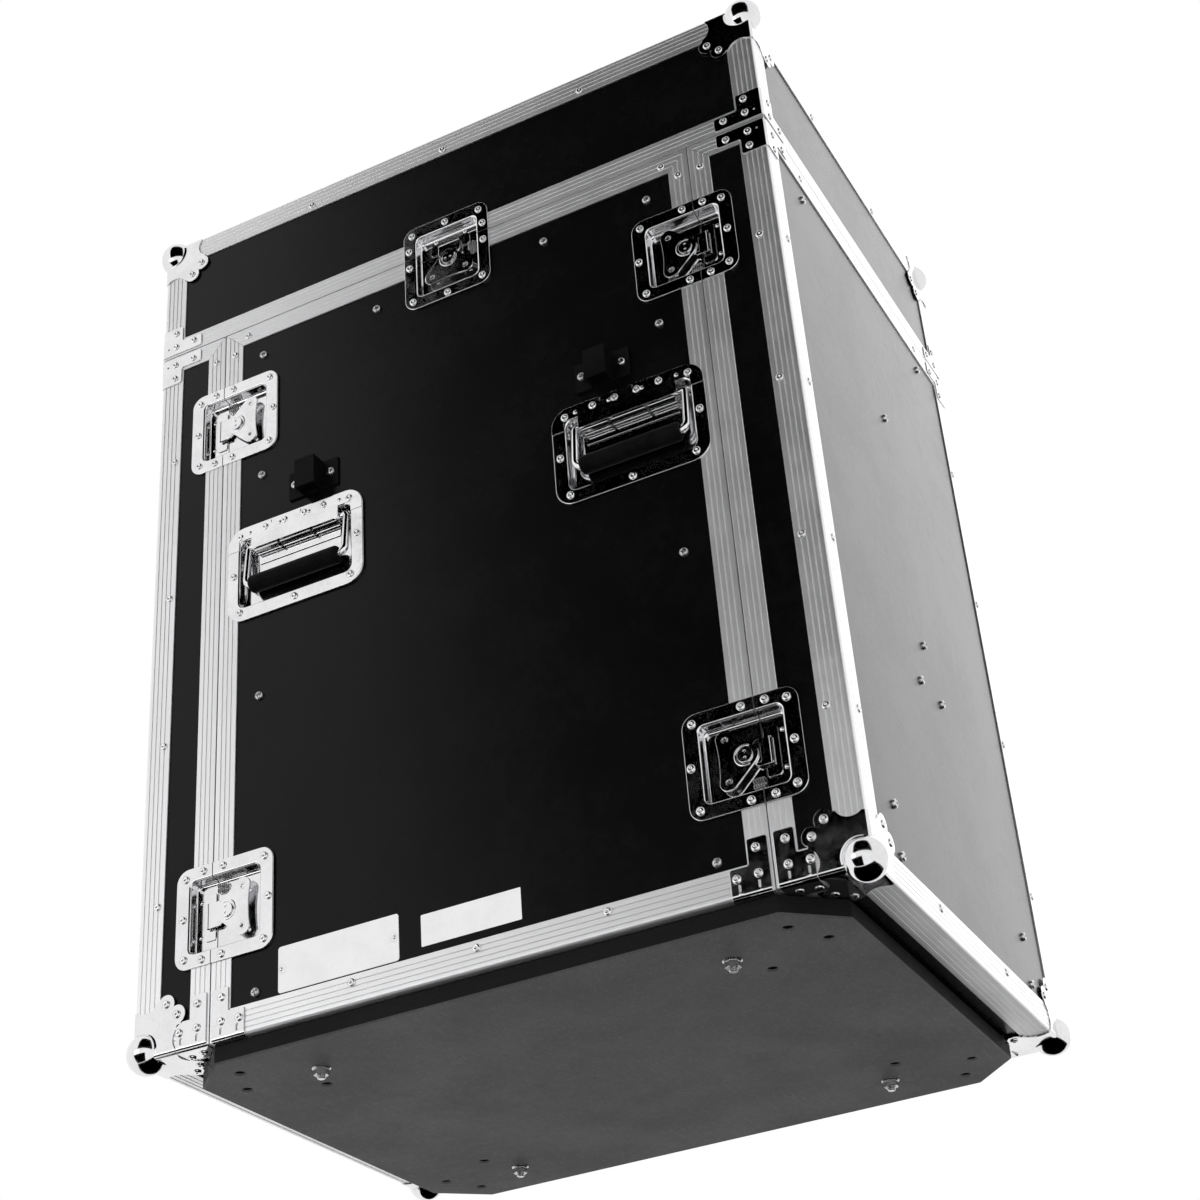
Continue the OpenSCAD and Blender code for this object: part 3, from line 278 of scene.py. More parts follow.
def rounded_corners(points, radius, steps=4):
    """The outline with each corner rounded by the radius."""
    outline = []
    count = len(points)
    for i, point in enumerate(points):
        here = Vector(point)
        back = (Vector(points[i - 1]) - here)
        ahead = (Vector(points[(i + 1) % count]) - here)
        half = back.angle(ahead) / 2
        reach = min(radius / math.tan(half), back.length * 0.45, ahead.length * 0.45)
        start = here + back.normalized() * reach
        end = here + ahead.normalized() * reach
        for k in range(steps + 1):
            t = k / steps
            outline.append(tuple(start * (1 - t) ** 2 + here * (2 * t * (1 - t)) + end * t ** 2))
    return outline


# --- mesh building ------------------------------------------------------------------------------


class Builder:
    """Gathers shapes drawn in millimetres and turns them into one mesh in metres."""

    def __init__(self):
        self.verts = []
        self.faces = []
        self.grain = []
        self.slots = []
        self.grain_offset = 0.0

    def add(self, verts, faces, matrix=Matrix.Identity(4), grain=None, slot=0):
        first = len(self.verts)
        self.verts += [matrix @ Vector(v) for v in verts]
        self.faces += [[first + i for i in face] for face in faces]
        self.grain += grain or [(v[0], v[1]) for v in verts]
        self.slots += [slot] * len(faces)

    def bmesh(self):
        """What is drawn so far as a bmesh in millimetres, its faces outwards."""
        bm = bmesh.new()
        verts = [bm.verts.new(v) for v in self.verts]
        for indices in self.faces:
            bm.faces.new([verts[i] for i in indices])
        bmesh.ops.recalc_face_normals(bm, faces=bm.faces)
        return bm

    def add_bmesh(self, bm, matrix=Matrix.Identity(4), slot=0):
        bm.verts.index_update()
        verts = [v.co.copy() for v in bm.verts]
        faces = [[v.index for v in face.verts] for face in bm.faces]
        self.add(verts, faces, matrix, slot=slot)
        bm.free()

    def loft(self, loops, matrix=Matrix.Identity(4), slot=0, caps=True, closed=False):
        """Joins loops of equally many points; closed joins the last loop to the first."""
        count = len(loops[0])
        verts = [p for loop in loops for p in loop]
        faces = []
        rings = len(loops)
        for k in range(rings if closed else rings - 1):
            a, b = k * count, ((k + 1) % rings) * count
            faces += [[a + i, a + (i + 1) % count, b + (i + 1) % count, b + i] for i in range(count)]
        if caps and not closed:
            faces.append(list(range(count))[::-1])
            faces.append([(rings - 1) * count + i for i in range(count)])
        self.add(verts, faces, matrix, slot=slot)

    def plate(self, outline, low, high, matrix=Matrix.Identity(4), slot=0, bevel=0.0, holes=()):
        """A flat plate with holes, its edges rounded by the bevel."""
        levels = [(low, 0.0), (high, 0.0)]
        if bevel:
            levels = [(low, bevel), (low + bevel, 0.0), (high - bevel, 0.0),
                      (high - bevel * 0.3, bevel * 0.3), (high, bevel)]
        contours = [outline] + [hole[::-1] for hole in holes]
        verts, faces, rims = [], [], []
        for contour in contours:
            count = len(contour)
            first = len(verts)
            for z, grow in levels:
                verts += [(x, y, z) for x, y in inset(contour, grow)]
            for k in range(len(levels) - 1):
                a, b = first + k * count, first + (k + 1) * count
                faces += [[a + i, a + (i + 1) % count, b + (i + 1) % count, b + i]
                          for i in range(count)]
            rims.append((first, first + (len(levels) - 1) * count, count))
        for side in (0, 1):
            starts = [(rim[side], rim[2]) for rim in rims]
            if len(starts) == 1:
                faces.append([starts[0][0] + i for i in range(starts[0][1])])
                continue
            index = [start + i for start, count in starts for i in range(count)]
            rings = [[Vector(verts[start + i]) for i in range(count)] for start, count in starts]
            faces += [[index[i] for i in triangle] for triangle in tessellate_polygon(rings)]
        self.add(verts, faces, matrix, slot=slot)

    def turn(self, profile, matrix=Matrix.Identity(4), slot=0, steps=32, start=0, end=360):
        """A closed profile of (radius, height) turned round z; a part turn gets flat ends."""
        full = end - start >= 360
        count = steps if full else steps + 1
        loops = []
        for k in range(count):
            a = math.radians(start + (end - start) * k / steps)
            loops.append([(r * math.cos(a), r * math.sin(a), h) for r, h in profile])
        self.loft(loops, matrix, slot, closed=full)

    def tube(self, path, radius, matrix=Matrix.Identity(4), slot=0, steps=16, closed=False):
        """A round rod along a path of points."""
        points = [Vector(p) for p in path]
        count = len(points)
        loops = []
        normal = None
        for i, point in enumerate(points):
            before = points[i - 1] if closed or i else point
            after = points[(i + 1) % count] if closed or i < count - 1 else point
            ahead = (after - before).normalized()
            if normal is None:
                normal = ahead.orthogonal().normalized()
            normal = (normal - ahead * normal.dot(ahead)).normalized()
            side = ahead.cross(normal)
            turns = [2 * math.pi * k / steps for k in range(steps)]
            loops.append([point + (normal * math.cos(a) + side * math.sin(a)) * radius for a in turns])
        self.loft(loops, matrix, slot, closed=closed)

    def make(self, name, body, slot, materials, nodes=(), crease=32):
        """The finished piece, riding on a body and standing for CAD nodes."""
        bm = bmesh.new()
        verts = [bm.verts.new(v * 0.001) for v in self.verts]
        uv = bm.loops.layers.uv.new("grain")
        for indices, material in zip(self.faces, self.slots):
            face = bm.faces.new([verts[i] for i in indices])
            face.smooth = True
            face.material_index = material
            for loop, i in zip(face.loops, indices):
                loop[uv].uv = (self.grain[i][0] * 0.001, self.grain[i][1] * 0.001)
        bmesh.ops.recalc_face_normals(bm, faces=bm.faces)
        mesh = bpy.data.meshes.new(name)
        bm.to_mesh(mesh)
        bm.free()
        return dress(mesh, name, body, materials, nodes, crease)


def inset(outline, amount):
    """The outline moved inwards by an amount; the outline runs anticlockwise."""
    if not amount:
        return outline
    count = len(outline)
    moved = []
    for i in range(count):
        p, q, r = Vector(outline[i - 1]), Vector(outline[i]), Vector(outline[(i + 1) % count])
        a, b = (q - p), (r - q)
        if a.length < 1e-6 or b.length < 1e-6:
            moved.append(outline[i])
            continue
        a.normalize()
        b.normalize()
        normal = Vector((-a.y - b.y, a.x + b.x))
        if normal.length < 1e-6:
            normal = Vector((-a.y, a.x))
        normal.normalize()
        stretch = max(0.5, normal.dot(Vector((-a.y, a.x))))
        moved.append(tuple(q + normal * (amount / stretch)))
    return moved


def dress(mesh, name, body, materials, nodes=(), crease=32):
    """Links a mesh as a piece with its materials, its body and the CAD nodes that it stands for.
    Its flats keep even shading beside their rounded edges."""
    mesh.set_sharp_from_angle(angle=math.radians(crease))
    for material in materials:
        mesh.materials.append(material)
    piece = bpy.data.objects.new(name, mesh)
    bpy.context.scene.collection.objects.link(piece)
    shading = piece.modifiers.new("Even Shading", "WEIGHTED_NORMAL")
    shading.keep_sharp = True
    shading.weight = 100
    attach(piece, body)
    if nodes:
        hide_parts(*nodes)
    return piece


def bevelled_copy(node, width, body, materials, crease=32):
    """A CAD node's shape with its sharp edges rounded by a width in millimetres."""
    bm = bmesh.new()
    bm.from_mesh(frame["nodes"][node].data)
    bmesh.ops.remove_doubles(bm, verts=bm.verts, dist=1e-6)
    bmesh.ops.dissolve_limit(bm, angle_limit=math.radians(1), verts=bm.verts, edges=bm.edges)
    sharp = [e for e in bm.edges if len(e.link_faces) == 2 and e.calc_face_angle() > math.radians(40)]
    bmesh.ops.bevel(bm, geom=sharp, offset=width * 0.001, segments=2, profile=0.5,
                    affect="EDGES", clamp_overlap=True)
    for face in bm.faces:
        face.smooth = True
        face.material_index = 0
    mesh = bpy.data.meshes.new(node + "_finished")
    bm.to_mesh(mesh)
    bm.free()
    return dress(mesh, node + "_finished", body, materials, (node,), crease)


def islands(node):
    """Lowest and highest corner of each separate solid in a CAD node, in millimetres."""
    bm = bmesh.new()
    bm.from_mesh(frame["nodes"][node].data)
    bmesh.ops.remove_doubles(bm, verts=bm.verts, dist=1e-6)
    seen = set()
    found = []
    for vert in bm.verts:
        if vert in seen:
            continue
        seen.add(vert)
        group, stack = [], [vert]
        while stack:
            here = stack.pop()
            group.append(here.co * 1000)
            for edge in here.link_edges:
                other = edge.other_vert(here)
                if other not in seen:
                    seen.add(other)
                    stack.append(other)
        low = Vector(min(p[k] for p in group) for k in range(3))
        high = Vector(max(p[k] for p in group) for k in range(3))
        found.append((low, high))
    bm.free()
    return found


# --- bent plates and pressed trays --------------------------------------------------------------


def flat_mesh(outline, thickness, bevel, holes=()):
    """A plate on z = 0 as a bmesh."""
    flat = Builder()
    flat.plate(outline, 0, thickness, bevel=bevel, holes=holes)
    return flat.bmesh()


def cut_away(bm, at, normal):
    """Removes what lies on the normal's side of a plane and closes the cut."""
    bmesh.ops.bisect_plane(bm, geom=bm.verts[:] + bm.edges[:] + bm.faces[:], dist=1e-4,
                           plane_co=at, plane_no=normal, clear_outer=True)
    rim = [edge for edge in bm.edges if len(edge.link_faces) == 1]
    if rim:
        bmesh.ops.holes_fill(bm, edges=rim, sides=0)


def bent_plate(outline, bevel, holes=(), diagonal=False, steps=6):
    """A plate bent round an arris along z. An outline gives the distance from the arris over the
    x face, or below zero over the y face, and the place along the arris. A diagonal plate ends
    at 45 degrees, where its neighbour begins."""
    inner = mm(sizes().arris_radius)
    radius = inner + PLATE_T
    half = radius * math.pi / 4

    def unroll(contour):
        return [(math.copysign(abs(e) - inner + half, e), h) for e, h in contour]

    bm = flat_mesh(unroll(outline), PLATE_T, bevel, [unroll(hole) for hole in holes])
    if diagonal:
        for side in (1, -1):
            cut_away(bm, (side * (half - inner), 0, 0), (side, -1, 0))
    for k in range(steps + 1):
        bmesh.ops.bisect_plane(bm, geom=bm.verts[:] + bm.edges[:] + bm.faces[:], dist=1e-4,
                               plane_co=(half * (2 * k / steps - 1), 0, 0), plane_no=(1, 0, 0))
    for vert in bm.verts:
        s, h, level = vert.co
        if s > half:
            vert.co = (inner + s - half, -level, h)
        elif s < -half:
            vert.co = (-level, inner - s - half, h)
        else:
            turn = (s + half) / radius
            reach = inner + level
            vert.co = (inner - reach * math.cos(turn), inner - reach * math.sin(turn), h)
    return bm


def fillet(outline, level, radius, outwards, steps=5):
    """Loops that turn from a flat at a level down into a wall, or from a wall to a floor."""
    loops = []
    for k in range(steps + 1):
        a = math.pi / 2 * k / steps
        if outwards:
            grow, z = radius * (1 - math.sin(a)), level - radius * (1 - math.cos(a))
        else:
            grow, z = -radius * (1 - math.cos(a)), level + radius * (1 - math.sin(a))
        loops.append([(x, y, z) for x, y in rounded_box(outline, grow)])
    return loops


def tray_mesh(flange, pocket, cut=None, lean=0.7):
    """A pressed tray with a rolled rim, its far part beyond a cut at x removed."""
    size = sizes()
    mouth, foot = mm(size.mouth_radius), mm(size.floor_radius)
    lower = tuple(c + lean * s for c, s in zip(pocket[:4], (1, 1, -1, -1))) + (pocket[4],)
    rim = ((0, 0), (0.45, 0), (0.85, -0.12), (1.08, -0.38), (DISH_T, -0.8))
    loops = [[(x, y, z) for x, y in rounded_box(flange, grow)] for z, grow in rim]
    loops += fillet(pocket, DISH_T, mouth, True)
    loops += fillet(lower, FLOOR, foot, False)
    loops.reverse()
    for box, z, grow in ((pocket, 0, WALL_T), (pocket, -0.6, WALL_T), (lower, foot - DEEP, WALL_T),
                         (lower, 0.6 - DEEP, WALL_T - 0.6), (lower, -DEEP, -foot)):
        loops.append([(x, y, z) for x, y in rounded_box(box, grow)])
    shell = Builder()
    shell.loft(loops)
    bm = shell.bmesh()
    if cut:
        cut_away(bm, (cut[0], 0, 0), (cut[1], 0, 0))
    return bm


def backing_mesh(flange, pocket, start, end):
    """Strip that fills the step between a dish's rim and the laminate."""
    ring = Builder()
    ring.loft([[(x, y, z) for x, y in rounded_box(box, grow)] for box, grow, z in (
        (flange, -0.3, 0), (flange, -0.3, -SKIN), (pocket, WALL_T, -SKIN), (pocket, WALL_T, 0))],
        closed=True)
    bm = ring.bmesh()
    cut_away(bm, (start, 0, 0), (-1, 0, 0))
    cut_away(bm, (end, 0, 0), (1, 0, 0))
    return bm


# --- node groups and materials ------------------------------------------------------------------


class Graph:
    """Short hand for building a shader or geometry node tree."""

    def __init__(self, tree):
        self.tree = tree
        self.column = 0

    def node(self, kind, values=None, **settings):
        node = self.tree.nodes.new(kind)
        self.column += 1
        node.location = (self.column * 180, 0)
        for key, value in settings.items():
            setattr(node, key, value)
        for key, value in (values or {}).items():
            self.put(value, node.inputs[key])
        return node

    def put(self, value, socket):
        if isinstance(value, bpy.types.NodeSocket):
            self.tree.links.new(value, socket)
        else:
            socket.default_value = value

    def math(self, operation, a, b=0.0, clamp=False):
        return self.node("ShaderNodeMath", {0: a, 1: b}, operation=operation, use_clamp=clamp).outputs[0]

    def ramp(self, value, low, high, to_low=0.0, to_high=1.0):
        """A value brought smoothly from one range to another."""
        node = self.node("ShaderNodeMapRange", {
            "Value": value, "From Min": low, "From Max": high, "To Min": to_low, "To Max": to_high},
            interpolation_type="SMOOTHSTEP")
        return node.outputs["Result"]

    def noise(self, vector, scale, detail=3.0, roughness=0.5):
        node = self.node("ShaderNodeTexNoise", {
            "Vector": vector, "Scale": scale, "Detail": detail, "Roughness": roughness})
        return node.outputs["Fac"]

    def mix(self, factor, a, b):
        node = self.node("ShaderNodeMix", data_type="RGBA")
        self.put(factor, node.inputs["Factor"])
        for value, socket in ((a, node.inputs[6]), (b, node.inputs[7])):
            self.put((*value, 1.0) if isinstance(value, tuple) else value, socket)
        return node.outputs[2]


def node_group(name, inputs, outputs, kind="ShaderNodeTree"):
    """A node group with its sockets; inputs map a name to its kind and default."""
    group = bpy.data.node_groups.new(name, kind)
    for key, (socket_kind, default) in inputs.items():
        socket = group.interface.new_socket(key, in_out="INPUT", socket_type=socket_kind)
        if default is not None:
            socket.default_value = default
    for key, socket_kind in outputs.items():
        group.interface.new_socket(key, in_out="OUTPUT", socket_type=socket_kind)
    graph = Graph(group)
    source = graph.node("NodeGroupInput")
    sink = graph.node("NodeGroupOutput")
    return group, graph, source.outputs, sink.inputs


FLOAT = "NodeSocketFloat"
VECTOR = "NodeSocketVector"


def make_scuffs():
    """Fine scratches in many directions, gathered where the case gets rubbed."""
    group, graph, given, out = node_group(
        "Scuffs", {"Vector": (VECTOR, None), "Scale": (FLOAT, 40.0), "Amount": (FLOAT, 0.5)},
        {"Mask": FLOAT})
    total = None
    for index, turn in enumerate((0.4, 1.9, 2.7)):
        spun = graph.node("ShaderNodeMapping", {
            "Vector": given["Vector"], "Rotation": (turn, turn * 1.7, turn * 0.6),
            "Scale": (1.0, 22.0, 22.0), "Location": (index * 3.1, 0, 0)})
        lines = graph.noise(spun.outputs[0], given["Scale"], 2.0)
        thin = graph.ramp(lines, 0.66, 0.72)
        total = thin if total is None else graph.math("MAXIMUM", total, thin)
    patches = graph.noise(given["Vector"], graph.math("MULTIPLY", given["Scale"], 0.35), 2.0)
    worn = graph.math("MULTIPLY", total, graph.ramp(patches, 0.45, 0.7))
    graph.put(graph.math("MULTIPLY", worn, given["Amount"], True), out["Mask"])
    return group


def make_smudges():
    """Soft marks that change how rough a surface is."""
    group, graph, given, out = node_group(
        "Smudges", {"Vector": (VECTOR, None), "Scale": (FLOAT, 12.0), "Low": (FLOAT, 0.2),
                    "High": (FLOAT, 0.4)}, {"Roughness": FLOAT, "Mask": FLOAT})
    broad = graph.noise(given["Vector"], given["Scale"], 4.0, 0.62)
    fine = graph.noise(given["Vector"], graph.math("MULTIPLY", given["Scale"], 9.0), 3.0)
    both = graph.math("ADD", graph.math("MULTIPLY", broad, 0.7), graph.math("MULTIPLY", fine, 0.3))
    mask = graph.ramp(both, 0.38, 0.64)
    span_of = graph.math("SUBTRACT", given["High"], given["Low"])
    graph.put(graph.math("ADD", given["Low"], graph.math("MULTIPLY", mask, span_of)),
              out["Roughness"])
    graph.put(mask, out["Mask"])
    return group


def make_die_lines():
    """Fine lines along an extrusion, read from its own grain coordinates."""
    group, graph, given, out = node_group(
        "Die Lines", {"Vector": (VECTOR, None), "Across": (FLOAT, 2600.0), "Along": (FLOAT, 14.0)},
        {"Height": FLOAT, "Mask": FLOAT})
    scale = graph.node("ShaderNodeCombineXYZ", {0: given["Across"], 1: given["Along"], 2: 1.0})
    drawn = graph.node("ShaderNodeVectorMath", {0: given["Vector"], 1: scale.outputs[0]},
                       operation="MULTIPLY")
    lines = graph.noise(drawn.outputs[0], 1.0, 3.0, 0.6)
    graph.put(lines, out["Height"])
    graph.put(graph.ramp(lines, 0.3, 0.75), out["Mask"])
    return group


def make_pebble():
    """Fine leathery relief of a laminate, lacquer or powder coat."""
    group, graph, given, out = node_group(
        "Pebble", {"Vector": (VECTOR, None), "Scale": (FLOAT, 900.0), "Soft": (FLOAT, 0.5)},
        {"Height": FLOAT})
    cells = graph.node("ShaderNodeTexVoronoi", {"Vector": given["Vector"], "Scale": given["Scale"]},
                       feature="SMOOTH_F1")
    bumps = graph.noise(given["Vector"], graph.math("MULTIPLY", given["Scale"], 0.6), 2.0)
    height = graph.math("ADD", graph.math("MULTIPLY", cells.outputs["Distance"], given["Soft"]), bumps)
    graph.put(height, out["Height"])
    return group


GROUPS = {}
MATERIALS = {}


class Finish:
    """A new material with its Principled shader, and the shared effects placed in it."""

    def __init__(self, name, **constants):
        self.material = bpy.data.materials.new(name)
        self.material.use_nodes = True
        self.graph = Graph(self.material.node_tree)
        self.shader = self.material.node_tree.nodes["Principled BSDF"]
        for key, value in constants.items():
            self.shader.inputs[key.replace("_", " ")].default_value = value
        spots = self.graph.node("ShaderNodeTexCoord")
        self.spot = spots.outputs["Object"]
        self.grain = self.graph.node("ShaderNodeUVMap", uv_map="grain").outputs["UV"]
        MATERIALS[name] = self.material

    def effect(self, name, **values):
        node = self.graph.node("ShaderNodeGroup")
        node.node_tree = GROUPS[name]
        node.label = name
        for key, value in values.items():
            self.graph.put(value, node.inputs[key])
        return node.outputs

    def bump(self, height, strength, distance):
        node = self.graph.node("ShaderNodeBump", {
            "Height": height, "Strength": strength, "Distance": distance})
        self.graph.put(node.outputs["Normal"], self.shader.inputs["Normal"])

    def set(self, **values):
        for key, value in values.items():
            self.graph.put(value, self.shader.inputs[key.replace("_", " ")])


    def smudge(self, color, marked, scale, low, high):
        """Lets smudges change the colour and the roughness."""
        marks = self.effect("Smudges", Vector=self.spot, Scale=scale, Low=low, High=high)
        self.set(Base_Color=self.graph.mix(marks["Mask"], color, marked), Roughness=marks["Roughness"])

    def pebble(self, scale, soft, strength, distance):
        """Gives the surface a fine leathery relief."""
        relief = self.effect("Pebble", Vector=self.spot, Scale=scale, Soft=soft)
        self.bump(relief["Height"], strength, distance)


def rgb(color):
    return tuple(color)


def lighter(color, amount):
    """The colour moved part of the way to white."""
    return tuple(c + (1 - c) * amount for c in color)


def darker(color, amount):
    """The colour moved part of the way to black."""
    return tuple(c * (1 - amount) for c in color)


def make_laminate():
    color = rgb(finishes().laminate)
    finish = Finish("Laminate", IOR=1.15, Coat_Weight=1.0, Coat_IOR=1.17, Coat_Roughness=0.24)
    smudge = finish.effect("Smudges", Vector=finish.spot, Scale=9.0, Low=0.24, High=0.3)
    scuff = finish.effect("Scuffs", Vector=finish.spot, Scale=26.0, Amount=0.35)
    tint = finish.graph.mix(smudge["Mask"], color, lighter(color, 0.001))
    finish.set(Base_Color=finish.graph.mix(scuff["Mask"], tint, lighter(color, 0.012)),
               Roughness=finish.graph.math("ADD", smudge["Roughness"],
                                           finish.graph.math("MULTIPLY", scuff["Mask"], 0.1)))
    finish.pebble(620.0, 0.4, 0.08, 0.0003)


def make_anodised():
    color = rgb(finishes().aluminium)
    finish = Finish("Anodised Aluminium", Metallic=0.95)
    lines = finish.effect("Die Lines", Vector=finish.grain, Across=2600.0, Along=14.0)
    smudge = finish.effect("Smudges", Vector=finish.spot, Scale=14.0, Low=0.38, High=0.44)
    scuff = finish.effect("Scuffs", Vector=finish.spot, Scale=34.0, Amount=0.4)
    drawn = finish.graph.mix(lines["Mask"], darker(color, 0.06), lighter(color, 0.05))
    finish.set(Base_Color=finish.graph.mix(scuff["Mask"], drawn, lighter(color, 0.3)),
               Roughness=smudge["Roughness"])
    finish.bump(lines["Height"], 0.08, 0.0002)


def make_chrome():
    color = rgb(finishes().chrome)
    finish = Finish("Chrome Plate", Metallic=1.0)
    smudge = finish.effect("Smudges", Vector=finish.spot, Scale=30.0, Low=0.07, High=0.15)
    scuff = finish.effect("Scuffs", Vector=finish.spot, Scale=60.0, Amount=0.5)
    finish.set(Base_Color=finish.graph.mix(smudge["Mask"], color, darker(color, 0.08)),
               Roughness=finish.graph.math("ADD", smudge["Roughness"],
                                           finish.graph.math("MULTIPLY", scuff["Mask"], 0.12)))
    finish.pebble(160.0, 0.2, 0.05, 0.0003)


def make_zinc():
    color = rgb(finishes().zinc)
    finish = Finish("Zinc Plate", Metallic=1.0)
    finish.smudge(color, darker(color, 0.2), 60.0, 0.22, 0.42)
    finish.pebble(1400.0, 0.4, 0.15, 0.0002)


def make_rivet_metal():
    color = lighter(rgb(finishes().aluminium), 0.1)
    finish = Finish("Rivet Aluminium", Metallic=1.0)
    finish.smudge(color, darker(color, 0.15), 80.0, 0.18, 0.32)


def make_spring_steel():
    color = darker(rgb(finishes().zinc), 0.35)
    finish = Finish("Spring Steel", Metallic=1.0)
    finish.smudge(color, darker(color, 0.3), 90.0, 0.25, 0.45)


def make_rubber():
    color = rgb(finishes().black)
    finish = Finish("Grip Rubber", IOR=1.12)
    finish.smudge(color, lighter(color, 0.003), 45.0, 0.42, 0.55)
    finish.pebble(1500.0, 0.6, 0.25, 0.0002)


def make_powder_coat():
    color = rgb(finishes().black)
    finish = Finish("Powder Coat", IOR=1.4)
    smudge = finish.effect("Smudges", Vector=finish.spot, Scale=20.0, Low=0.38, High=0.5)
    scuff = finish.effect("Scuffs", Vector=finish.spot, Scale=44.0, Amount=0.6)
    finish.set(Base_Color=finish.graph.mix(scuff["Mask"], lighter(color, 0.01), lighter(color, 0.12)),
               Roughness=smudge["Roughness"])
    finish.pebble(1100.0, 0.8, 0.35, 0.0003)


def make_bracket_plastic():
    color = rgb(finishes().black)
    finish = Finish("Bracket Plastic", IOR=1.15)
    finish.smudge(color, lighter(color, 0.002), 25.0, 0.4, 0.52)
    finish.pebble(1800.0, 0.5, 0.3, 0.0002)


def make_board():
    """Film faced plywood: a speckled dark film, and thin layers showing at the edges."""
    layer_pair = 0.0022
    color = rgb(finishes().board)
    finish = Finish("Board Film", IOR=1.2)
    graph = finish.graph
    speckle = graph.ramp(graph.noise(finish.spot, 420.0, 2.0), 0.52, 0.7)
    cloud = graph.ramp(graph.noise(finish.spot, 7.0, 4.0, 0.6), 0.35, 0.7)
    scuff = finish.effect("Scuffs", Vector=finish.spot, Scale=22.0, Amount=0.7)
    film = graph.mix(cloud, darker(color, 0.12), lighter(color, 0.006))
    film = graph.mix(graph.math("MULTIPLY", speckle, 0.35), film, lighter(color, 0.06))
    film = graph.mix(scuff["Mask"], film, lighter(color, 0.05))
    normal = graph.node("ShaderNodeNewGeometry").outputs["True Normal"]
    upright = graph.math("ABSOLUTE", graph.node("ShaderNodeSeparateXYZ", {0: normal}).outputs[2])
    edge = graph.ramp(upright, 0.5, 0.4)
    height = graph.node("ShaderNodeSeparateXYZ", {0: finish.spot}).outputs[2]
    wave = graph.math("SINE", graph.math("MULTIPLY", height, 2 * math.pi / layer_pair))
    layer = graph.ramp(wave, -0.2, 0.6)
    fibre = graph.node("ShaderNodeMapping", {"Vector": finish.spot, "Scale": (60, 60, 900)})
    grain = graph.noise(fibre.outputs[0], 1.0, 3.0)
    ply = graph.mix(layer, darker(color, 0.94), darker(color, 0.86))
    ply = graph.mix(graph.ramp(grain, 0.4, 0.7), ply, darker(color, 0.9))
    smudge = finish.effect("Smudges", Vector=finish.spot, Scale=10.0, Low=0.48, High=0.56)
    finish.set(Base_Color=graph.mix(edge, film, ply), Roughness=smudge["Roughness"])
    finish.pebble(300.0, 0.3, 0.12, 0.0004)


def make_plate():
    color = rgb(finishes().plate)
    finish = Finish("Blank Plate", IOR=1.4)
    smudge = finish.effect("Smudges", Vector=finish.spot, Scale=35.0, Low=0.3, High=0.45)
    scuff = finish.effect("Scuffs", Vector=finish.spot, Scale=55.0, Amount=0.5)
    tint = finish.graph.mix(smudge["Mask"], color, darker(color, 0.05))
    finish.set(Base_Color=finish.graph.mix(scuff["Mask"], tint, darker(color, 0.2)),
               Roughness=smudge["Roughness"])


class PieceOperator:
    """What the operators have in common."""

    bl_options = {"REGISTER", "UNDO"}

    @classmethod
    def poll(cls, context):
        return context.scene is not None


class RACKCASE_OT_finishes(PieceOperator, bpy.types.Operator):
    """Builds the shared effects and every finish of the case"""

    bl_idname = "rack_case.finishes"
    bl_label = "Finishes"

    def execute(self, context):
        GROUPS.update({"Scuffs": make_scuffs(), "Smudges": make_smudges(),
                       "Die Lines": make_die_lines(), "Pebble": make_pebble()})
        for make in (make_laminate, make_anodised, make_chrome, make_zinc, make_rivet_metal,
                     make_spring_steel, make_rubber, make_powder_coat, make_bracket_plastic,
                     make_board, make_plate):
            make()
        return {"FINISHED"}


def finish_list(*names):
    """The named finishes, in the order of a piece's material slots."""
    return [MATERIALS[name] for name in names]


# --- panels, rails and the board ----------------------------------------------------------------


# Cut across the board's corners, and the holes for the casters around each bolt: the turn of
# their plate in degrees, their spacing along and across it, and their radii
BOARD_CHAMFER = 47
CASTER_TURN = 27
CASTER_HOLES = (75, 45)
CASTER_HOLE_R = 4.5
BOLT_HOLE_R = 4.2


def bolt_spots():
    """Place of each of the four bolts that hold the board."""
    middles = [(low + high) / 2 for low, high in islands("board_bolts") if high.z - low.z > 20]
    return [(middle.x, middle.y) for middle in middles]


class RACKCASE_OT_panels(PieceOperator, bpy.types.Operator):
    """Gives the flat panels and the rails of the frame their finish"""

    bl_idname = "rack_case.panels"
    bl_label = "Panels and Rails"

    def execute(self, context):
        finish_of = {
            "Laminate": ("left_side_panel", "right_side_panel", "bottom_panel", "lid_top_panel",
                         "lid_wall_panels", "front_cover_panels", "rear_cover_panels"),
            "Powder Coat": ("front_rack_rails", "rear_rack_rails", "mixer_rails"),
        }
        for finish, nodes in finish_of.items():
            for node in nodes:
                materials = frame["nodes"][node].data.materials
                materials.clear()
                materials.append(MATERIALS[finish])
        return {"FINISHED"}


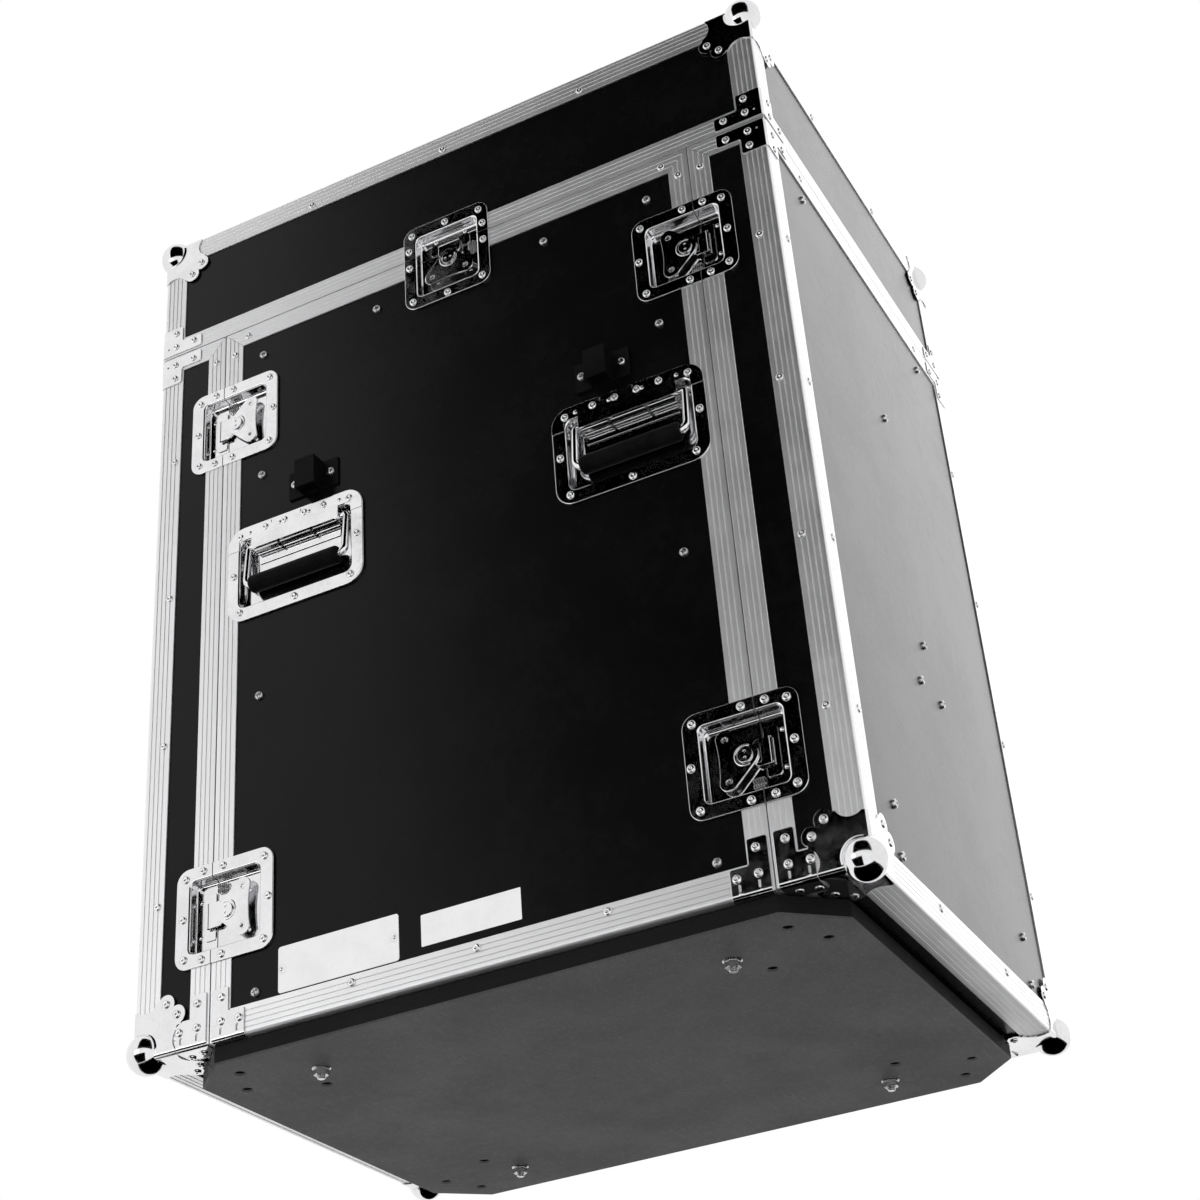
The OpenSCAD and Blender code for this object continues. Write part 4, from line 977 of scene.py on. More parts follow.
class RACKCASE_OT_board(PieceOperator, bpy.types.Operator):
    """Makes the caster board with rounded edges, the side brackets and the blank plates"""

    bl_idname = "rack_case.board"
    bl_label = "Board, Brackets and Plates"

    def execute(self, context):
        self.board()
        bevelled_copy("side_brackets", 0.6, "body", finish_list("Bracket Plastic"))
        bevelled_copy("blank_plates", 0.15, "body", finish_list("Blank Plate"))
        self.plate_rivets()
        return {"FINISHED"}

    def board(self):
        builder = Builder()
        w, l, c = BOARD_HIGH.x, BOARD_HIGH.y, BOARD_CHAMFER
        outline = [(w, c - l), (w, l - c), (w - c, l), (c - w, l),
                   (-w, l - c), (-w, c - l), (c - w, -l), (w - c, -l)]
        turn = math.radians(CASTER_TURN)
        long = Vector((math.sin(turn), math.cos(turn))) * CASTER_HOLES[0]
        wide = Vector((math.cos(turn), -math.sin(turn))) * CASTER_HOLES[1]
        holes = []
        for bolt in bolt_spots():
            quarter = [math.copysign(1, c) for c in bolt]
            holes.append(circle(BOLT_HOLE_R, 20, bolt))
            for shift in (long, -wide, long - wide):
                at = [b + q * s for b, q, s in zip(bolt, quarter, shift)]
                holes.append(circle(CASTER_HOLE_R, 20, at))
        builder.plate(outline, BOARD_LOW.z, BOARD_HIGH.z, bevel=1.6, holes=holes)
        builder.make("caster_board_finished", "body", "board", finish_list("Board Film"), ("caster_board",))

    def plate_rivets(self):
        """Two small rivets at the ends of the name plate."""
        low, high = max(islands("blank_plates"), key=lambda box: box[1].y - box[0].y)
        builder = Builder()
        middle = (low.z + high.z) / 2
        from_end = 4
        for y in (low.y + from_end, high.y - from_end):
            at = place((low.x, y, middle), FORWARD, Z, LEFT)
            builder.turn([(0, -0.3), (2, -0.3), (2, 0.1), (1.6, 0.55), (0.9, 0.8), (0, 0.85)], at, steps=16)
        builder.make("name_plate_rivets", "body", "rivet", finish_list("Rivet Aluminium"), crease=60)


# --- extrusions ---------------------------------------------------------------------------------


# Half of the gap that a latch takes in an extrusion
LATCH_GAP = 38.2
# Width and thickness of the inner lip, and depth of a whole parting frame
INNER_LIP = 12.0
INNER_LIP_T = 1.5
FRAME_T = DEEP + INNER_LIP_T
# Width and height of the tongue, its place across the wall, its play and its chamfer
TONGUE_W = 3.0
TONGUE_H = 4.0
TONGUE_AT = (DEEP + SKIN - TONGUE_W) / 2
PLAY = 0.5
TONGUE_CHAMFER = 0.4
# Thickness of the web over a panel edge, plain or with the groove
THIN_WEB = 2.0
WIDE_WEB = 6.0
# Gaps left at a mitred end and at a square end, and shift of the grain from run to run
MITRE_GAP = 0.22
BUTT_GAP = 0.15
GRAIN_STEP = 60.0


def lined_edge(width, start=0.0):
    """Points along an extrusion's face with shallow lines in it: place along, then depth."""
    size = sizes()
    pitch, line, depth = mm(size.rib_pitch), mm(size.rib_width) / 2, mm(size.rib_depth)
    count = int((width - pitch) / pitch)
    first = (width - (count - 1) * pitch) / 2
    points = [(start, 0.0)]
    for i in range(count):
        at = first + i * pitch
        points += [(at - line, 0.0), (at - line * 0.55, depth * 0.75), (at, depth),
                   (at + line * 0.55, depth * 0.75), (at + line, 0.0)]
    points += [(width - 0.35, 0.0), (width, 0.35)]
    return points


def angle_section():
    """Section of an edge angle, its arris rounded at the origin."""
    size = sizes()
    width, radius = mm(size.edge_width), mm(size.arris_radius)
    side = lined_edge(width, radius)
    outline = [(depth, along) for along, depth in reversed(side)]
    outline += arc((radius, radius), radius, 180, 270, 8)[1:-1]
    outline += side
    inner = radius - SKIN
    outline += [(width, SKIN), (SKIN + inner, SKIN)]
    outline += arc((radius, radius), inner, 270, 180, 4)[1:-1]
    outline += [(SKIN, SKIN + inner), (SKIN, width)]
    return outline


def lip_section(web, groove=None):
    """Section of a parting extrusion: lined lip, web and inner side of the parting."""
    lip = mm(sizes().lip_width)
    round_off = 0.5
    points = [(0.0, round_off), (0.15, 0.15), *lined_edge(lip, round_off)]
    points += [(lip, SKIN), (web, SKIN), (web, DEEP), (0.0, DEEP)]
    if groove:
        low, high, depth = groove
        points += [(0.0, high), (depth, high), (depth, low), (0.0, low)]
    return points


def draw_run(builder, section, length, matrix, start=None, end=None):
    """A run of an extrusion; a mitred end slopes with the distance from the arris."""
    perimeter = [0.0]
    for i in range(1, len(section)):
        step = math.hypot(section[i][0] - section[i - 1][0], section[i][1] - section[i - 1][1])
        perimeter.append(perimeter[-1] + step)
    offset = builder.grain_offset
    builder.grain_offset += GRAIN_STEP

    def ring(base, mitre, sign):
        loop = []
        for x, y in section:
            slope = max(x, y) if mitre == "both" else x if mitre == "x" else 0.0
            loop.append((x, y, base + sign * (slope + (MITRE_GAP if mitre else BUTT_GAP))))
        return loop

    first, last = ring(0.0, start, 1), ring(length, end, -1)
    count = len(section)
    verts = first + last
    grain = [(perimeter[i] + offset, first[i][2]) for i in range(count)]
    grain += [(perimeter[i] + offset, last[i][2]) for i in range(count)]
    faces = [[i, (i + 1) % count, count + (i + 1) % count, count + i] for i in range(count)]
    faces += [list(range(count))[::-1], [count + i for i in range(count)]]
    builder.add(verts, faces, matrix, grain)


def gap_edges(gaps):
    """Both edges of each latch's gap, in order along the run."""
    return [edge for gap in sorted(gaps) for edge in (gap - LATCH_GAP, gap + LATCH_GAP)]


def draw_parting(builder, length, web, matrix, insets=(0.0, 0.0), start=None, end=None,
                 gaps=(), groove=None):
    """A parting extrusion with gaps for the latches, and its inner lip behind it."""
    section = lip_section(web, groove)
    edges = [0.0, *gap_edges(gaps), length]
    for k in range(0, len(edges), 2):
        low, high = edges[k], edges[k + 1]
        shift = matrix @ Matrix.Translation((0, 0, low))
        draw_run(builder, section, high - low, shift,
                 start if k == 0 else None, end if k == len(edges) - 2 else None)
    round_off = 0.2
    lip = [(0.0, DEEP), (INNER_LIP, DEEP), (INNER_LIP, FRAME_T - round_off), (INNER_LIP - round_off, FRAME_T),
           (round_off, FRAME_T), (0.0, FRAME_T - round_off)]
    shift = matrix @ Matrix.Translation((0, 0, insets[0]))
    draw_run(builder, lip, length - insets[0] - insets[1], shift)


def draw_tongue(builder, length, short, matrix, gaps=()):
    """The tongue that seals a parting, with gaps for the latches."""
    near, far = TONGUE_AT, TONGUE_AT + TONGUE_W
    root, shoulder = 0.3, TONGUE_CHAMFER - TONGUE_H
    outline = [(-TONGUE_H, near + TONGUE_CHAMFER), (shoulder, near), (root, near), (root, far),
               (shoulder, far), (-TONGUE_H, far - TONGUE_CHAMFER)]
    edges = [short[0], *gap_edges(gaps), length - short[1]]
    for low, high in zip(edges[::2], edges[1::2]):
        draw_run(builder, outline, high - low, matrix @ Matrix.Translation((0, 0, low)))


def groove_of(drop=0.0):
    """Near side, far side and depth of the groove that takes a tongue."""
    return (TONGUE_AT - PLAY - drop, TONGUE_AT + TONGUE_W + PLAY, TONGUE_H - GAP + PLAY)


class RACKCASE_OT_extrusions(PieceOperator, bpy.types.Operator):
    """Makes the edge angles and the parting extrusions of the body, the lid and the covers"""

    bl_idname = "rack_case.extrusions"
    bl_label = "Extrusions"

    def execute(self, context):
        self.body()
        self.lid()
        for name, turn in (FRONT, REAR):
            self.cover(name, turn)
        return {"FINISHED"}

    def finish(self, builder, name, body, nodes):
        builder.make(name, body, "extrusion", finish_list("Anodised Aluminium"), nodes, crease=40)

    def body(self):
        builder = Builder()
        lip = mm(sizes().lip_width)
        for side in BOTH_X:
            draw_run(builder, angle_section(), 2 * (BODY_Y - lip),
                     side @ place((-HALF_W, -BODY_Y + lip, CASE_Z), X, Z, Y))
        self.finish(builder, "body_edge_angle_pair", "body", ("body_edge_angles",))
        builder = Builder()
        height = PART_Z - CASE_Z
        gaps = [z - CASE_Z for z in cover_latch_heights()]
        for side in FOUR:
            at = side @ place((-HALF_W, -BODY_Y, CASE_Z), Y, X, Z)
            draw_parting(builder, height, THIN_WEB, at, (FRAME_T, FRAME_T), None, "x", gaps)
            draw_tongue(builder, height, (TONGUE_H, GAP + THIN_WEB), at, gaps)
        for side in BOTH_X:
            at = side @ place((-HALF_W, -BODY_Y, PART_Z), DOWN, X, Y)
            draw_parting(builder, 2 * BODY_Y, THIN_WEB, at, (INNER_LIP, INNER_LIP), "x", "x", [BODY_Y])
            draw_tongue(builder, 2 * BODY_Y, (THIN_WEB, THIN_WEB), at, [BODY_Y])
        for side in BOTH_Y:
            at = side @ place((-WALL_X, -BODY_Y, CASE_Z), Y, Z, X)
            draw_parting(builder, 2 * WALL_X, THIN_WEB, at)
            draw_tongue(builder, 2 * WALL_X, (TONGUE_H, TONGUE_H), at)
        self.finish(builder, "body_parting_extrusions", "body", ("body_parting_frame",))

    def lid(self):
        builder = Builder()
        lip = mm(sizes().lip_width)
        section = angle_section()
        for side in FOUR:
            draw_run(builder, section, TOP_Z - LID_Z - lip,
                     side @ place((-HALF_W, -HALF_D, LID_Z + lip), X, Y, Z), None, "both")
        for side in BOTH_X:
            draw_run(builder, section, 2 * HALF_D,
                     side @ place((-HALF_W, -HALF_D, TOP_Z), X, DOWN, Y), "both", "both")
            draw_parting(builder, 2 * HALF_D, WIDE_WEB, side @ place((-HALF_W, -HALF_D, LID_Z), Z, X, Y),
                         (FRAME_T, FRAME_T), gaps=[HALF_D], groove=groove_of())
        for side in BOTH_Y:
            draw_run(builder, section, 2 * HALF_W,
                     side @ place((-HALF_W, -HALF_D, TOP_Z), Y, DOWN, X), "both", "both")
            draw_parting(builder, 2 * WALL_X, THIN_WEB, side @ place((-WALL_X, -HALF_D, LID_Z), Z, Y, X))
        self.finish(builder, "lid_edge_extrusions", "lid", ("lid_extrusions",))

    def cover(self, name, turn):
        builder = Builder()
        lip = mm(sizes().lip_width)
        section = angle_section()
        height, run = PART_Z - COVER_Z, HALF_D - COVER_Y
        for side in BOTH_X:
            side = turn @ side
            draw_run(builder, section, height - lip,
                     side @ place((-HALF_W, -HALF_D, COVER_Z), X, Y, Z), "both")
            draw_run(builder, section, run - lip,
                     side @ place((-HALF_W, -HALF_D, COVER_Z), X, Z, Y), "both")
            draw_parting(builder, run, THIN_WEB, side @ place((-HALF_W, -COVER_Y, PART_Z), DOWN, X, FORWARD),
                         (INNER_LIP, FRAME_T), "x")
            draw_parting(builder, height, WIDE_WEB, side @ place((-HALF_W, -COVER_Y, COVER_Z), FORWARD, X, Z),
                         (FRAME_T, FRAME_T), None, "x", [z - COVER_Z for z in cover_latch_heights()],
                         groove_of())
        draw_run(builder, section, 2 * HALF_W, turn @ place((-HALF_W, -HALF_D, COVER_Z), Y, Z, X),
                 "both", "both")
        draw_parting(builder, 2 * WALL_X, THIN_WEB, turn @ place((-WALL_X, -HALF_D, PART_Z), DOWN, Y, X))
        draw_parting(builder, 2 * WALL_X, WIDE_WEB, turn @ place((-WALL_X, -COVER_Y, COVER_Z), FORWARD, Z, X),
                     groove=groove_of(COVER_Z - CASE_Z))
        self.finish(builder, name + "_edge_extrusions", name, (name + "_extrusions",))


def cover_latch_heights():
    """Heights of the latches that hold the covers, from low to high."""
    return sorted({round(matrix.translation.z, 3) for _, partner, matrix in latches() if partner in COVERS})


# --- corners and braces -------------------------------------------------------------------------


def slot_hole(x, y, length, width):
    """A vertical slot with round ends."""
    half = (length - width) / 2
    return arc((x, y + half), width / 2, 0, 180, 6) + arc((x, y - half), width / 2, 180, 360, 6)


# Ball corner: radius of the ball, depth of its centre inside each face and radius of its hollow
BALL_R = 20.0
BALL_IN = 9.5
BALL_HOLLOW = 3.2
# Centre and radius of the lobe round a rivet and of the hollow beside it, on each leaf
LOBE = (37, 49.5)
LOBE_R = 9.5
LEAF_HOLLOW = (13.0, 60.5)
LEAF_HOLLOW_R = 15.0
# Rounding of the edges of bent plates
PLATE_EDGE = 0.35


def corner_horn():
    """Half of two neighbouring leaves of a ball corner, over the arris between them."""
    side = [(9.0, 5.0), (47.2, 43.2)]
    side += arc(LOBE, LOBE_R, -28, 152, 12)
    side += arc(LEAF_HOLLOW, LEAF_HOLLOW_R, -24, -128, 9)
    return side + [(-e, h) for e, h in reversed(side)]


def ball_mesh():
    """The ball over a corner, pressed flat inside the walls of the case."""
    bm = bmesh.new()
    bmesh.ops.create_icosphere(bm, subdivisions=4, radius=BALL_R)
    inside = 1.0
    for vert in bm.verts:
        vert.co += Vector((BALL_IN,) * 3)
        least = min(range(3), key=lambda k: vert.co[k])
        if vert.co[least] > inside:
            vert.co[least] = inside
    return bm


def ball_fillet():
    """Hollow ring that leads from one leaf up to the ball, centred on the ball."""
    surface = BALL_IN + PLATE_T
    sunk = surface - 0.15
    centre_h = surface + BALL_HOLLOW
    centre_r = math.sqrt((BALL_R + BALL_HOLLOW) ** 2 - centre_h ** 2)
    touch = math.atan2(centre_h, centre_r)
    within = BALL_R - 1.5
    profile = [(centre_r, sunk)]
    profile += arc((centre_r, centre_h), BALL_HOLLOW, -90, math.degrees(touch) - 180, 8)
    profile += [(within * math.cos(touch), within * math.sin(touch) - 0.6),
                (centre_r - BALL_HOLLOW - 2, sunk)]
    return profile


FACES = (place((0, 0, 0), X, Y, DOWN), place((0, 0, 0), X, Z, FORWARD), place((0, 0, 0), Y, Z, LEFT))


def draw_ball_corner(builder, matrix):
    for x, y, z in ((X, Y, Z), (Y, Z, X), (Z, X, Y)):
        leaf = bent_plate(corner_horn(), PLATE_EDGE, diagonal=True)
        builder.add_bmesh(leaf, matrix @ place((0, 0, 0), x, y, z))
    builder.add_bmesh(ball_mesh(), matrix)
    profile = ball_fillet()
    for face in FACES:
        at = face @ Matrix.Translation((BALL_IN, BALL_IN, -BALL_IN))
        builder.turn(profile, matrix @ at, start=-16, end=106, steps=28)


def draw_parting_brace(builder, matrix):
    """Brace round an upright arris beside a level parting."""
    gap, foot, shin = 2.6, 18.7, 39
    long, leg = 53, 27
    leaf = [(long, gap), (long, foot), (leg, foot), (leg, shin)]
    outline = leaf + [(-e, h) for e, h in reversed(leaf)]
    holes = [slot_hole(s * 8.4, 12.4, 2.4, 2.39) for s in (1, -1)]
    builder.add_bmesh(bent_plate(rounded_corners(outline, 3.2), PLATE_EDGE, holes), matrix)


def draw_foot_brace(builder, matrix, long):
    """Brace round the bottom arris beside a cover parting: x along it, y up, z under."""
    gap, foot = 2.4, 21
    up, leg, under = 51, 27, -24
    outline = [(up, gap), (up, foot), (leg, foot), (leg, long), (under, long), (under, gap)]
    slots = [[(e, h) for h, e in slot_hole(h, 9.0, 8.2, 3.2)] for h in (13.0, 31.0)]
    bm = bent_plate(rounded_corners(outline, 2.6), PLATE_EDGE, slots)
    builder.add_bmesh(bm, matrix @ place((0, 0, 0), Y, Z, X))


class RACKCASE_OT_corners(PieceOperator, bpy.types.Operator):
    """Makes the ball corners and the braces that wrap the arrises"""

    bl_idname = "rack_case.corners"
    bl_label = "Corners and Braces"

    def execute(self, context):
        chrome = finish_list("Chrome Plate")
        builder = Builder()
        for side in FOUR:
            draw_foot_brace(builder, side @ place((-HALF_W, -BODY_Y, CASE_Z), Y, Z, X), 39)
        builder.make("body_foot_braces", "body", "chrome", chrome, ("body_corner_braces",))
        builder = Builder()
        for side in FOUR:
            draw_ball_corner(builder, side @ place((-HALF_W, -HALF_D, TOP_Z), X, Y, DOWN))
        builder.make("lid_corner_balls", "lid", "chrome", chrome, ("lid_ball_corners",))
        builder = Builder()
        for side in FOUR:
            draw_parting_brace(builder, side @ place((-HALF_W, -HALF_D, LID_Z), X, Y, Z))
        builder.make("lid_parting_braces", "lid", "chrome", chrome, ("lid_corner_braces",))
        for name, turn in (FRONT, REAR):
            builder = Builder()
            for side in BOTH_X:
                side = turn @ side
                draw_ball_corner(builder, side @ place((-HALF_W, -HALF_D, COVER_Z), X, Y, Z))
                draw_parting_brace(builder, side @ place((-HALF_W, -HALF_D, PART_Z), X, Y, DOWN))
                draw_foot_brace(builder, side @ place((-HALF_W, -COVER_Y, COVER_Z), FORWARD, Z, X), 36.8)
            builder.make(name + "_chrome_corners", name, "chrome", chrome, (name + "_corners",))
        return {"FINISHED"}


# --- latches ------------------------------------------------------------------------------------


# Past every dish, so that a cut there takes nothing
BEYOND = 5
# Cap of the post: radius, thickness, and the radius and offset of its two blind holes
CAP_R = 7.2
CAP_T = 1.4
CAP_HOLE_R = 1.25
CAP_HOLE_OUT = 3.1


def draw_latch_dish(builder, matrix):
    """Body half of a latch: dish, backing strip and the post that the wing turns on."""
    builder.add_bmesh(tray_mesh(LATCH_FLANGE, LATCH_POCKET, (-GAP / 2, 1)), matrix)
    lip = mm(sizes().lip_width) + GAP
    builder.add_bmesh(backing_mesh(LATCH_FLANGE, LATCH_POCKET, LATCH_FLANGE[0] - BEYOND, -lip), matrix)
    post = matrix @ Matrix.Translation((-PIVOT_U, 0, 0))
    foot, top = FLOOR - 0.3, POST_LEVEL + 0.2
    builder.turn([(0, foot), (PIVOT_R, foot), (PIVOT_R, top), (0, top)], post, steps=24)
    dots = [circle(CAP_HOLE_R, 12, (0, v)) for v in (-CAP_HOLE_OUT, CAP_HOLE_OUT)]
    builder.plate(circle(CAP_R, 36), POST_LEVEL, POST_LEVEL + CAP_T, post, bevel=0.4, holes=dots)
    builder.plate(circle(CAP_R - 0.6, 36), POST_LEVEL + 0.1, POST_LEVEL + 0.6, post)


def small_dome(builder, radius, height, matrix):
    """The low round head of a rivet on z = 0."""
    profile = [(0, -0.2), (radius, -0.2), (radius, 0)]
    profile += [(radius * math.cos(a), height * math.sin(a)) for a in (0.35, 0.75, 1.15)]
    builder.turn(profile + [(0, height)], matrix, steps=18)


def draw_keeper(builder, matrix):
    """Cover half of a latch: dish, backing strip and the riveted keeper."""
    builder.add_bmesh(tray_mesh(LATCH_FLANGE, LATCH_POCKET, (GAP / 2, -1)), matrix)
    lip = mm(sizes().lip_width) + GAP
    builder.add_bmesh(backing_mesh(LATCH_FLANGE, LATCH_POCKET, lip, LATCH_FLANGE[2] + BEYOND), matrix)
    half, corner = 24, 2.5
    near, far = 1.6, 15.5
    base = [(near, -half), (far - corner, -half), (far, corner - half), (far, half - corner),
            (far - corner, half), (near, half)]
    builder.plate(rounded_corners(base, corner), FLOOR - 0.1, FLOOR + DISH_T, matrix, bevel=0.3)
    hook_play = 0.4
    wall = [(1.5, -12), (3.7, -12), (3.7, 12), (1.5, 12)]
    builder.plate(rounded_corners(wall, 0.8), FLOOR, HOOK_LEVEL - hook_play, matrix, bevel=0.5)
    for v in (-18, 18):
        small_dome(builder, 2.3, 1.2, matrix @ Matrix.Translation((19.3, v, FLOOR)))


# Wing, about its pivot: the radius of its hub, the centre and radius of a lobe, and the angle
# of the straight flank between the two
WING_T = 2.0
WING_HUB_R = 12
WING_LOBE = (-17.4, 20.4)
WING_LOBE_R = 9
WING_FLANK = 47


def wing_outline():
    """Hub and two lobes joined by straight flanks, with a shallow waist at the back."""
    u, v = WING_LOBE
    points = arc((0, 0), WING_HUB_R, -WING_FLANK, WING_FLANK, 12)
    points += arc((u, v), WING_LOBE_R, WING_FLANK, 170, 12)
    points += [(-25.2, 13.5), (-24.7, 6.0), (-24.6, 0.0), (-24.7, -6.0), (-25.2, -13.5)]
    points += arc((u, -v), WING_LOBE_R, -170, -WING_FLANK, 12)
    return points


def draw_wing(builder, matrix):
    """The butterfly wing: a thick plate with two holed lobes and a raised collar at its hub."""
    u, v = WING_LOBE
    at = matrix @ Matrix.Translation((-PIVOT_U, 0, 0))
    holes = [circle(1.7, 16, (u, s * v)) for s in (1, -1)]
    holes.append(circle(PIVOT_R + 0.1, 24))
    top = WING_LEVEL + WING_T
    builder.plate(wing_outline(), WING_LEVEL, top, at, bevel=0.45, holes=holes)
    sunk = top - 0.1
    ring = [(8.4, sunk), (10.6, sunk), (10.4, top + 0.4), (9.9, top + 0.7),
            (9.1, top + 0.7), (8.6, top + 0.4)]
    builder.turn(ring, at, steps=36, start=65, end=295)
    for s in (1, -1):
        eye = at @ Matrix.Translation((u, s * v, 0))
        builder.turn([(2.1, sunk), (3.5, sunk), (3.2, top + 0.25), (2.4, top + 0.25)], eye, steps=20)


HOOK_T = 2.0


def draw_hook(builder, matrix):
    """The hook that the wing draws over the keeper, its tip rolled."""
    slot, travel = PIVOT_R + 0.5, 5.0
    back, tip = -PIVOT_U - slot - travel - 5, 10.0
    stem, jaw, roll = 9, 13, 1.4
    top = HOOK_LEVEL + HOOK_T
    outline = [(back, -stem), (-9, -stem), (-4, -jaw), (tip, -jaw),
               (tip, jaw), (-4, jaw), (-9, stem), (back, stem)]
    hole = arc((-PIVOT_U, 0), slot, -90, 90, 8) + arc((-PIVOT_U - travel, 0), slot, 90, 270, 8)
    builder.plate(rounded_corners(outline, 2.5), HOOK_LEVEL, top, matrix, bevel=0.35, holes=[hole])
    rolled = [(tip - roll, v, HOOK_LEVEL + 0.9) for v in (-jaw, 0.5 - jaw, jaw - 0.5, jaw)]
    builder.tube(rolled, roll, matrix)
    pad = [(-9, -9.2), (-1.0, -9.2), (-1.0, 9.2), (-9, 9.2)]
    builder.plate(rounded_corners(pad, 1.2), top - 0.1, top + 0.3, matrix, bevel=0.15)


class RACKCASE_OT_latches(PieceOperator, bpy.types.Operator):
    """Makes the latches: dishes, keepers, wings and hooks"""

    bl_idname = "rack_case.latches"
    bl_label = "Latches"

    def execute(self, context):
        chrome = finish_list("Chrome Plate")
        dishes = Builder()
        keepers = {"lid": Builder(), "front_cover": Builder(), "rear_cover": Builder()}
        for key, partner, matrix in latches():
            draw_latch_dish(dishes, matrix)
            draw_keeper(keepers[partner], matrix)
            wing, hook = Builder(), Builder()
            draw_wing(wing, matrix)
            draw_hook(hook, matrix)
            wing.make("latch_wing_" + key, "wing_" + key, "chrome", chrome, ("wing_" + key,))
            hook.make("latch_hook_" + key, "hook_" + key, "zinc", chrome, ("hook_" + key,))
        dishes.make("latch_dish_set", "body", "chrome", chrome, ("latch_dishes",))
        for partner, builder in keepers.items():
            builder.make(partner + "_keeper_dishes", partner, "chrome", chrome, (partner + "_keepers",))
        return {"FINISHED"}


# --- handles ------------------------------------------------------------------------------------


def draw_handle_dish(builder, matrix):
    """Handle dish with the folded cover over its hinge rod and the two bearings."""
    builder.add_bmesh(tray_mesh(HANDLE_FLANGE, HANDLE_POCKET), matrix)
    handle_y = abs(matrix.translation.y)
    reach = BODY_Y - mm(sizes().lip_width) - handle_y - GAP
    outer = mirror(0) if matrix.translation.y < 0 else Matrix.Identity(4)
    backing = backing_mesh(HANDLE_FLANGE, HANDLE_POCKET, -HANDLE_FLANGE[2] - BEYOND, reach)
    builder.add_bmesh(backing, matrix @ outer)
    draw_hinge_cover(builder, matrix)
    rise = HINGE_LEVEL + 6
    bearing = [(HINGE_UP - 6.2, FLOOR - 0.1), (HINGE_UP + 6.2, FLOOR - 0.1),
               (HINGE_UP + 6.2, rise), (HINGE_UP - 6.2, rise)]
    hole = circle(PIVOT_R + 0.1, 20, (HINGE_UP, HINGE_LEVEL))
    for side in (-1, 1):
        stand = matrix @ place((side * 50 - 2, 0, 0), Y, Z, X)
        builder.plate(rounded_corners(bearing, 3), 0, 4, stand, bevel=0.3, holes=[hole])


def upright_slots(places, low, high, half=0.55):
    """Thin upright slots, as holes for a plate."""
    return [[(x - half, high), (x - half, low), (x + half, low), (x + half, high)] for x in places]


def draw_hinge_cover(builder, matrix):
    """The cover plate above the pocket, its three curls over the rod and its notched foot."""
    fold, inner, outer = 30.0, 53.2, 68.4
    mouth, drop = 41.4, 27.5
    rim = [p for p in rounded_box(HANDLE_FLANGE, -0.4) if p[1] > fold]
    edge = HANDLE_FLANGE[2] - 0.4
    top = [(edge, fold), *rim, (-edge, fold), (-outer, fold), (-outer, mouth), (-inner, mouth),
           (-inner, drop), (inner, drop), (inner, mouth), (outer, mouth), (outer, fold)]
    ticks = upright_slots((-36, -8, 28), 51.2, 54.2)
    builder.plate(top, DISH_T - 0.05, DISH_T + 0.6, matrix, bevel=0.25, holes=ticks)
    for x in (-55, -18, 18, 55):
        small_dome(builder, 2.2, 1.0, matrix @ Matrix.Translation((x, 47.5, DISH_T + 0.6)))
    middle, radius = (HINGE_UP - 1.0, HINGE_LEVEL), 6.9
    curl = arc(middle, radius + 1.1, 128, 200, 10) + arc(middle, radius, 200, 128, 10)
    for low, high in ((-50, -22), (-18.5, 18.5), (22, 50)):
        builder.loft([[(x, y, z) for y, z in curl] for x in (low, high)], matrix)
    foot = [(-50, 12.0), (50, 12.0), (50, 24.5), (-50, 24.5)]
    notches = upright_slots((-26, 0, 26), 18.5, 22.0, 0.6)
    builder.plate(rounded_corners(foot, 1.5), FLOOR - 0.1, FLOOR + 1.2, matrix, bevel=0.3, holes=notches)


def bail_path():
    """Centre line of the bail's rod: hinge side, arms and the side under the grip."""
    path = arc((BAIL_ARM - HINGE_BEND, -HINGE_BEND), HINGE_BEND, 90, 0, 5)
    path += arc((BAIL_ARM - BAIL_BEND, BAIL_BEND - BAIL_REACH), BAIL_BEND, 0, -90, 8)
    path += arc((BAIL_BEND - BAIL_ARM, BAIL_BEND - BAIL_REACH), BAIL_BEND, -90, -180, 8)
    path += arc((HINGE_BEND - BAIL_ARM, -HINGE_BEND), HINGE_BEND, 180, 90, 5)
    return [(x, y, 0) for x, y in path]


def grip_profile():
    """Half section of the rubber grip, from one rounded end to the other."""
    round_off = 3.4
    points = [(PIVOT_R - 0.3, -GRIP_HALF + 1.5), (5.6, -GRIP_HALF)]
    points += arc((GRIP_R - round_off, round_off - GRIP_HALF), round_off, -80, 0, 5)
    points += [(GRIP_R, -GRIP_HALF + 12), (GRIP_R, 0)]
    return points + [(r, -h) for r, h in reversed(points[:-1])]


def draw_bail(builder, matrix):
    """The bail at rest in its dish, leaning so that its grip lies level with the case."""
    lean = math.asin((GRIP_LEVEL - HINGE_LEVEL) / BAIL_REACH)
    at = matrix @ Matrix.Translation((0, HINGE_UP, HINGE_LEVEL)) @ Matrix.Rotation(-lean, 4, "X")
    builder.tube(bail_path(), PIVOT_R, at, slot=0, steps=20, closed=True)
    along = at @ place((0, -BAIL_REACH, 0), Y, Z, X)
    builder.turn(grip_profile(), along, slot=1, steps=40)


class RACKCASE_OT_handles(PieceOperator, bpy.types.Operator):
    """Makes the sprung handles: dishes, bails and grips"""

    bl_idname = "rack_case.handles"
    bl_label = "Handles"

    def execute(self, context):
        dishes = Builder()
        for name, matrix in handles():
            draw_handle_dish(dishes, matrix)
            bail = Builder()
            draw_bail(bail, matrix)
            bail.make(name.replace("bail", "handle"), name, "bail",
                      finish_list("Chrome Plate", "Grip Rubber"), (name,), crease=45)
        dishes.make("handle_dish_set", "body", "chrome", finish_list("Chrome Plate"), ("handle_dishes",))
        return {"FINISHED"}


# --- fasteners ----------------------------------------------------------------------------------


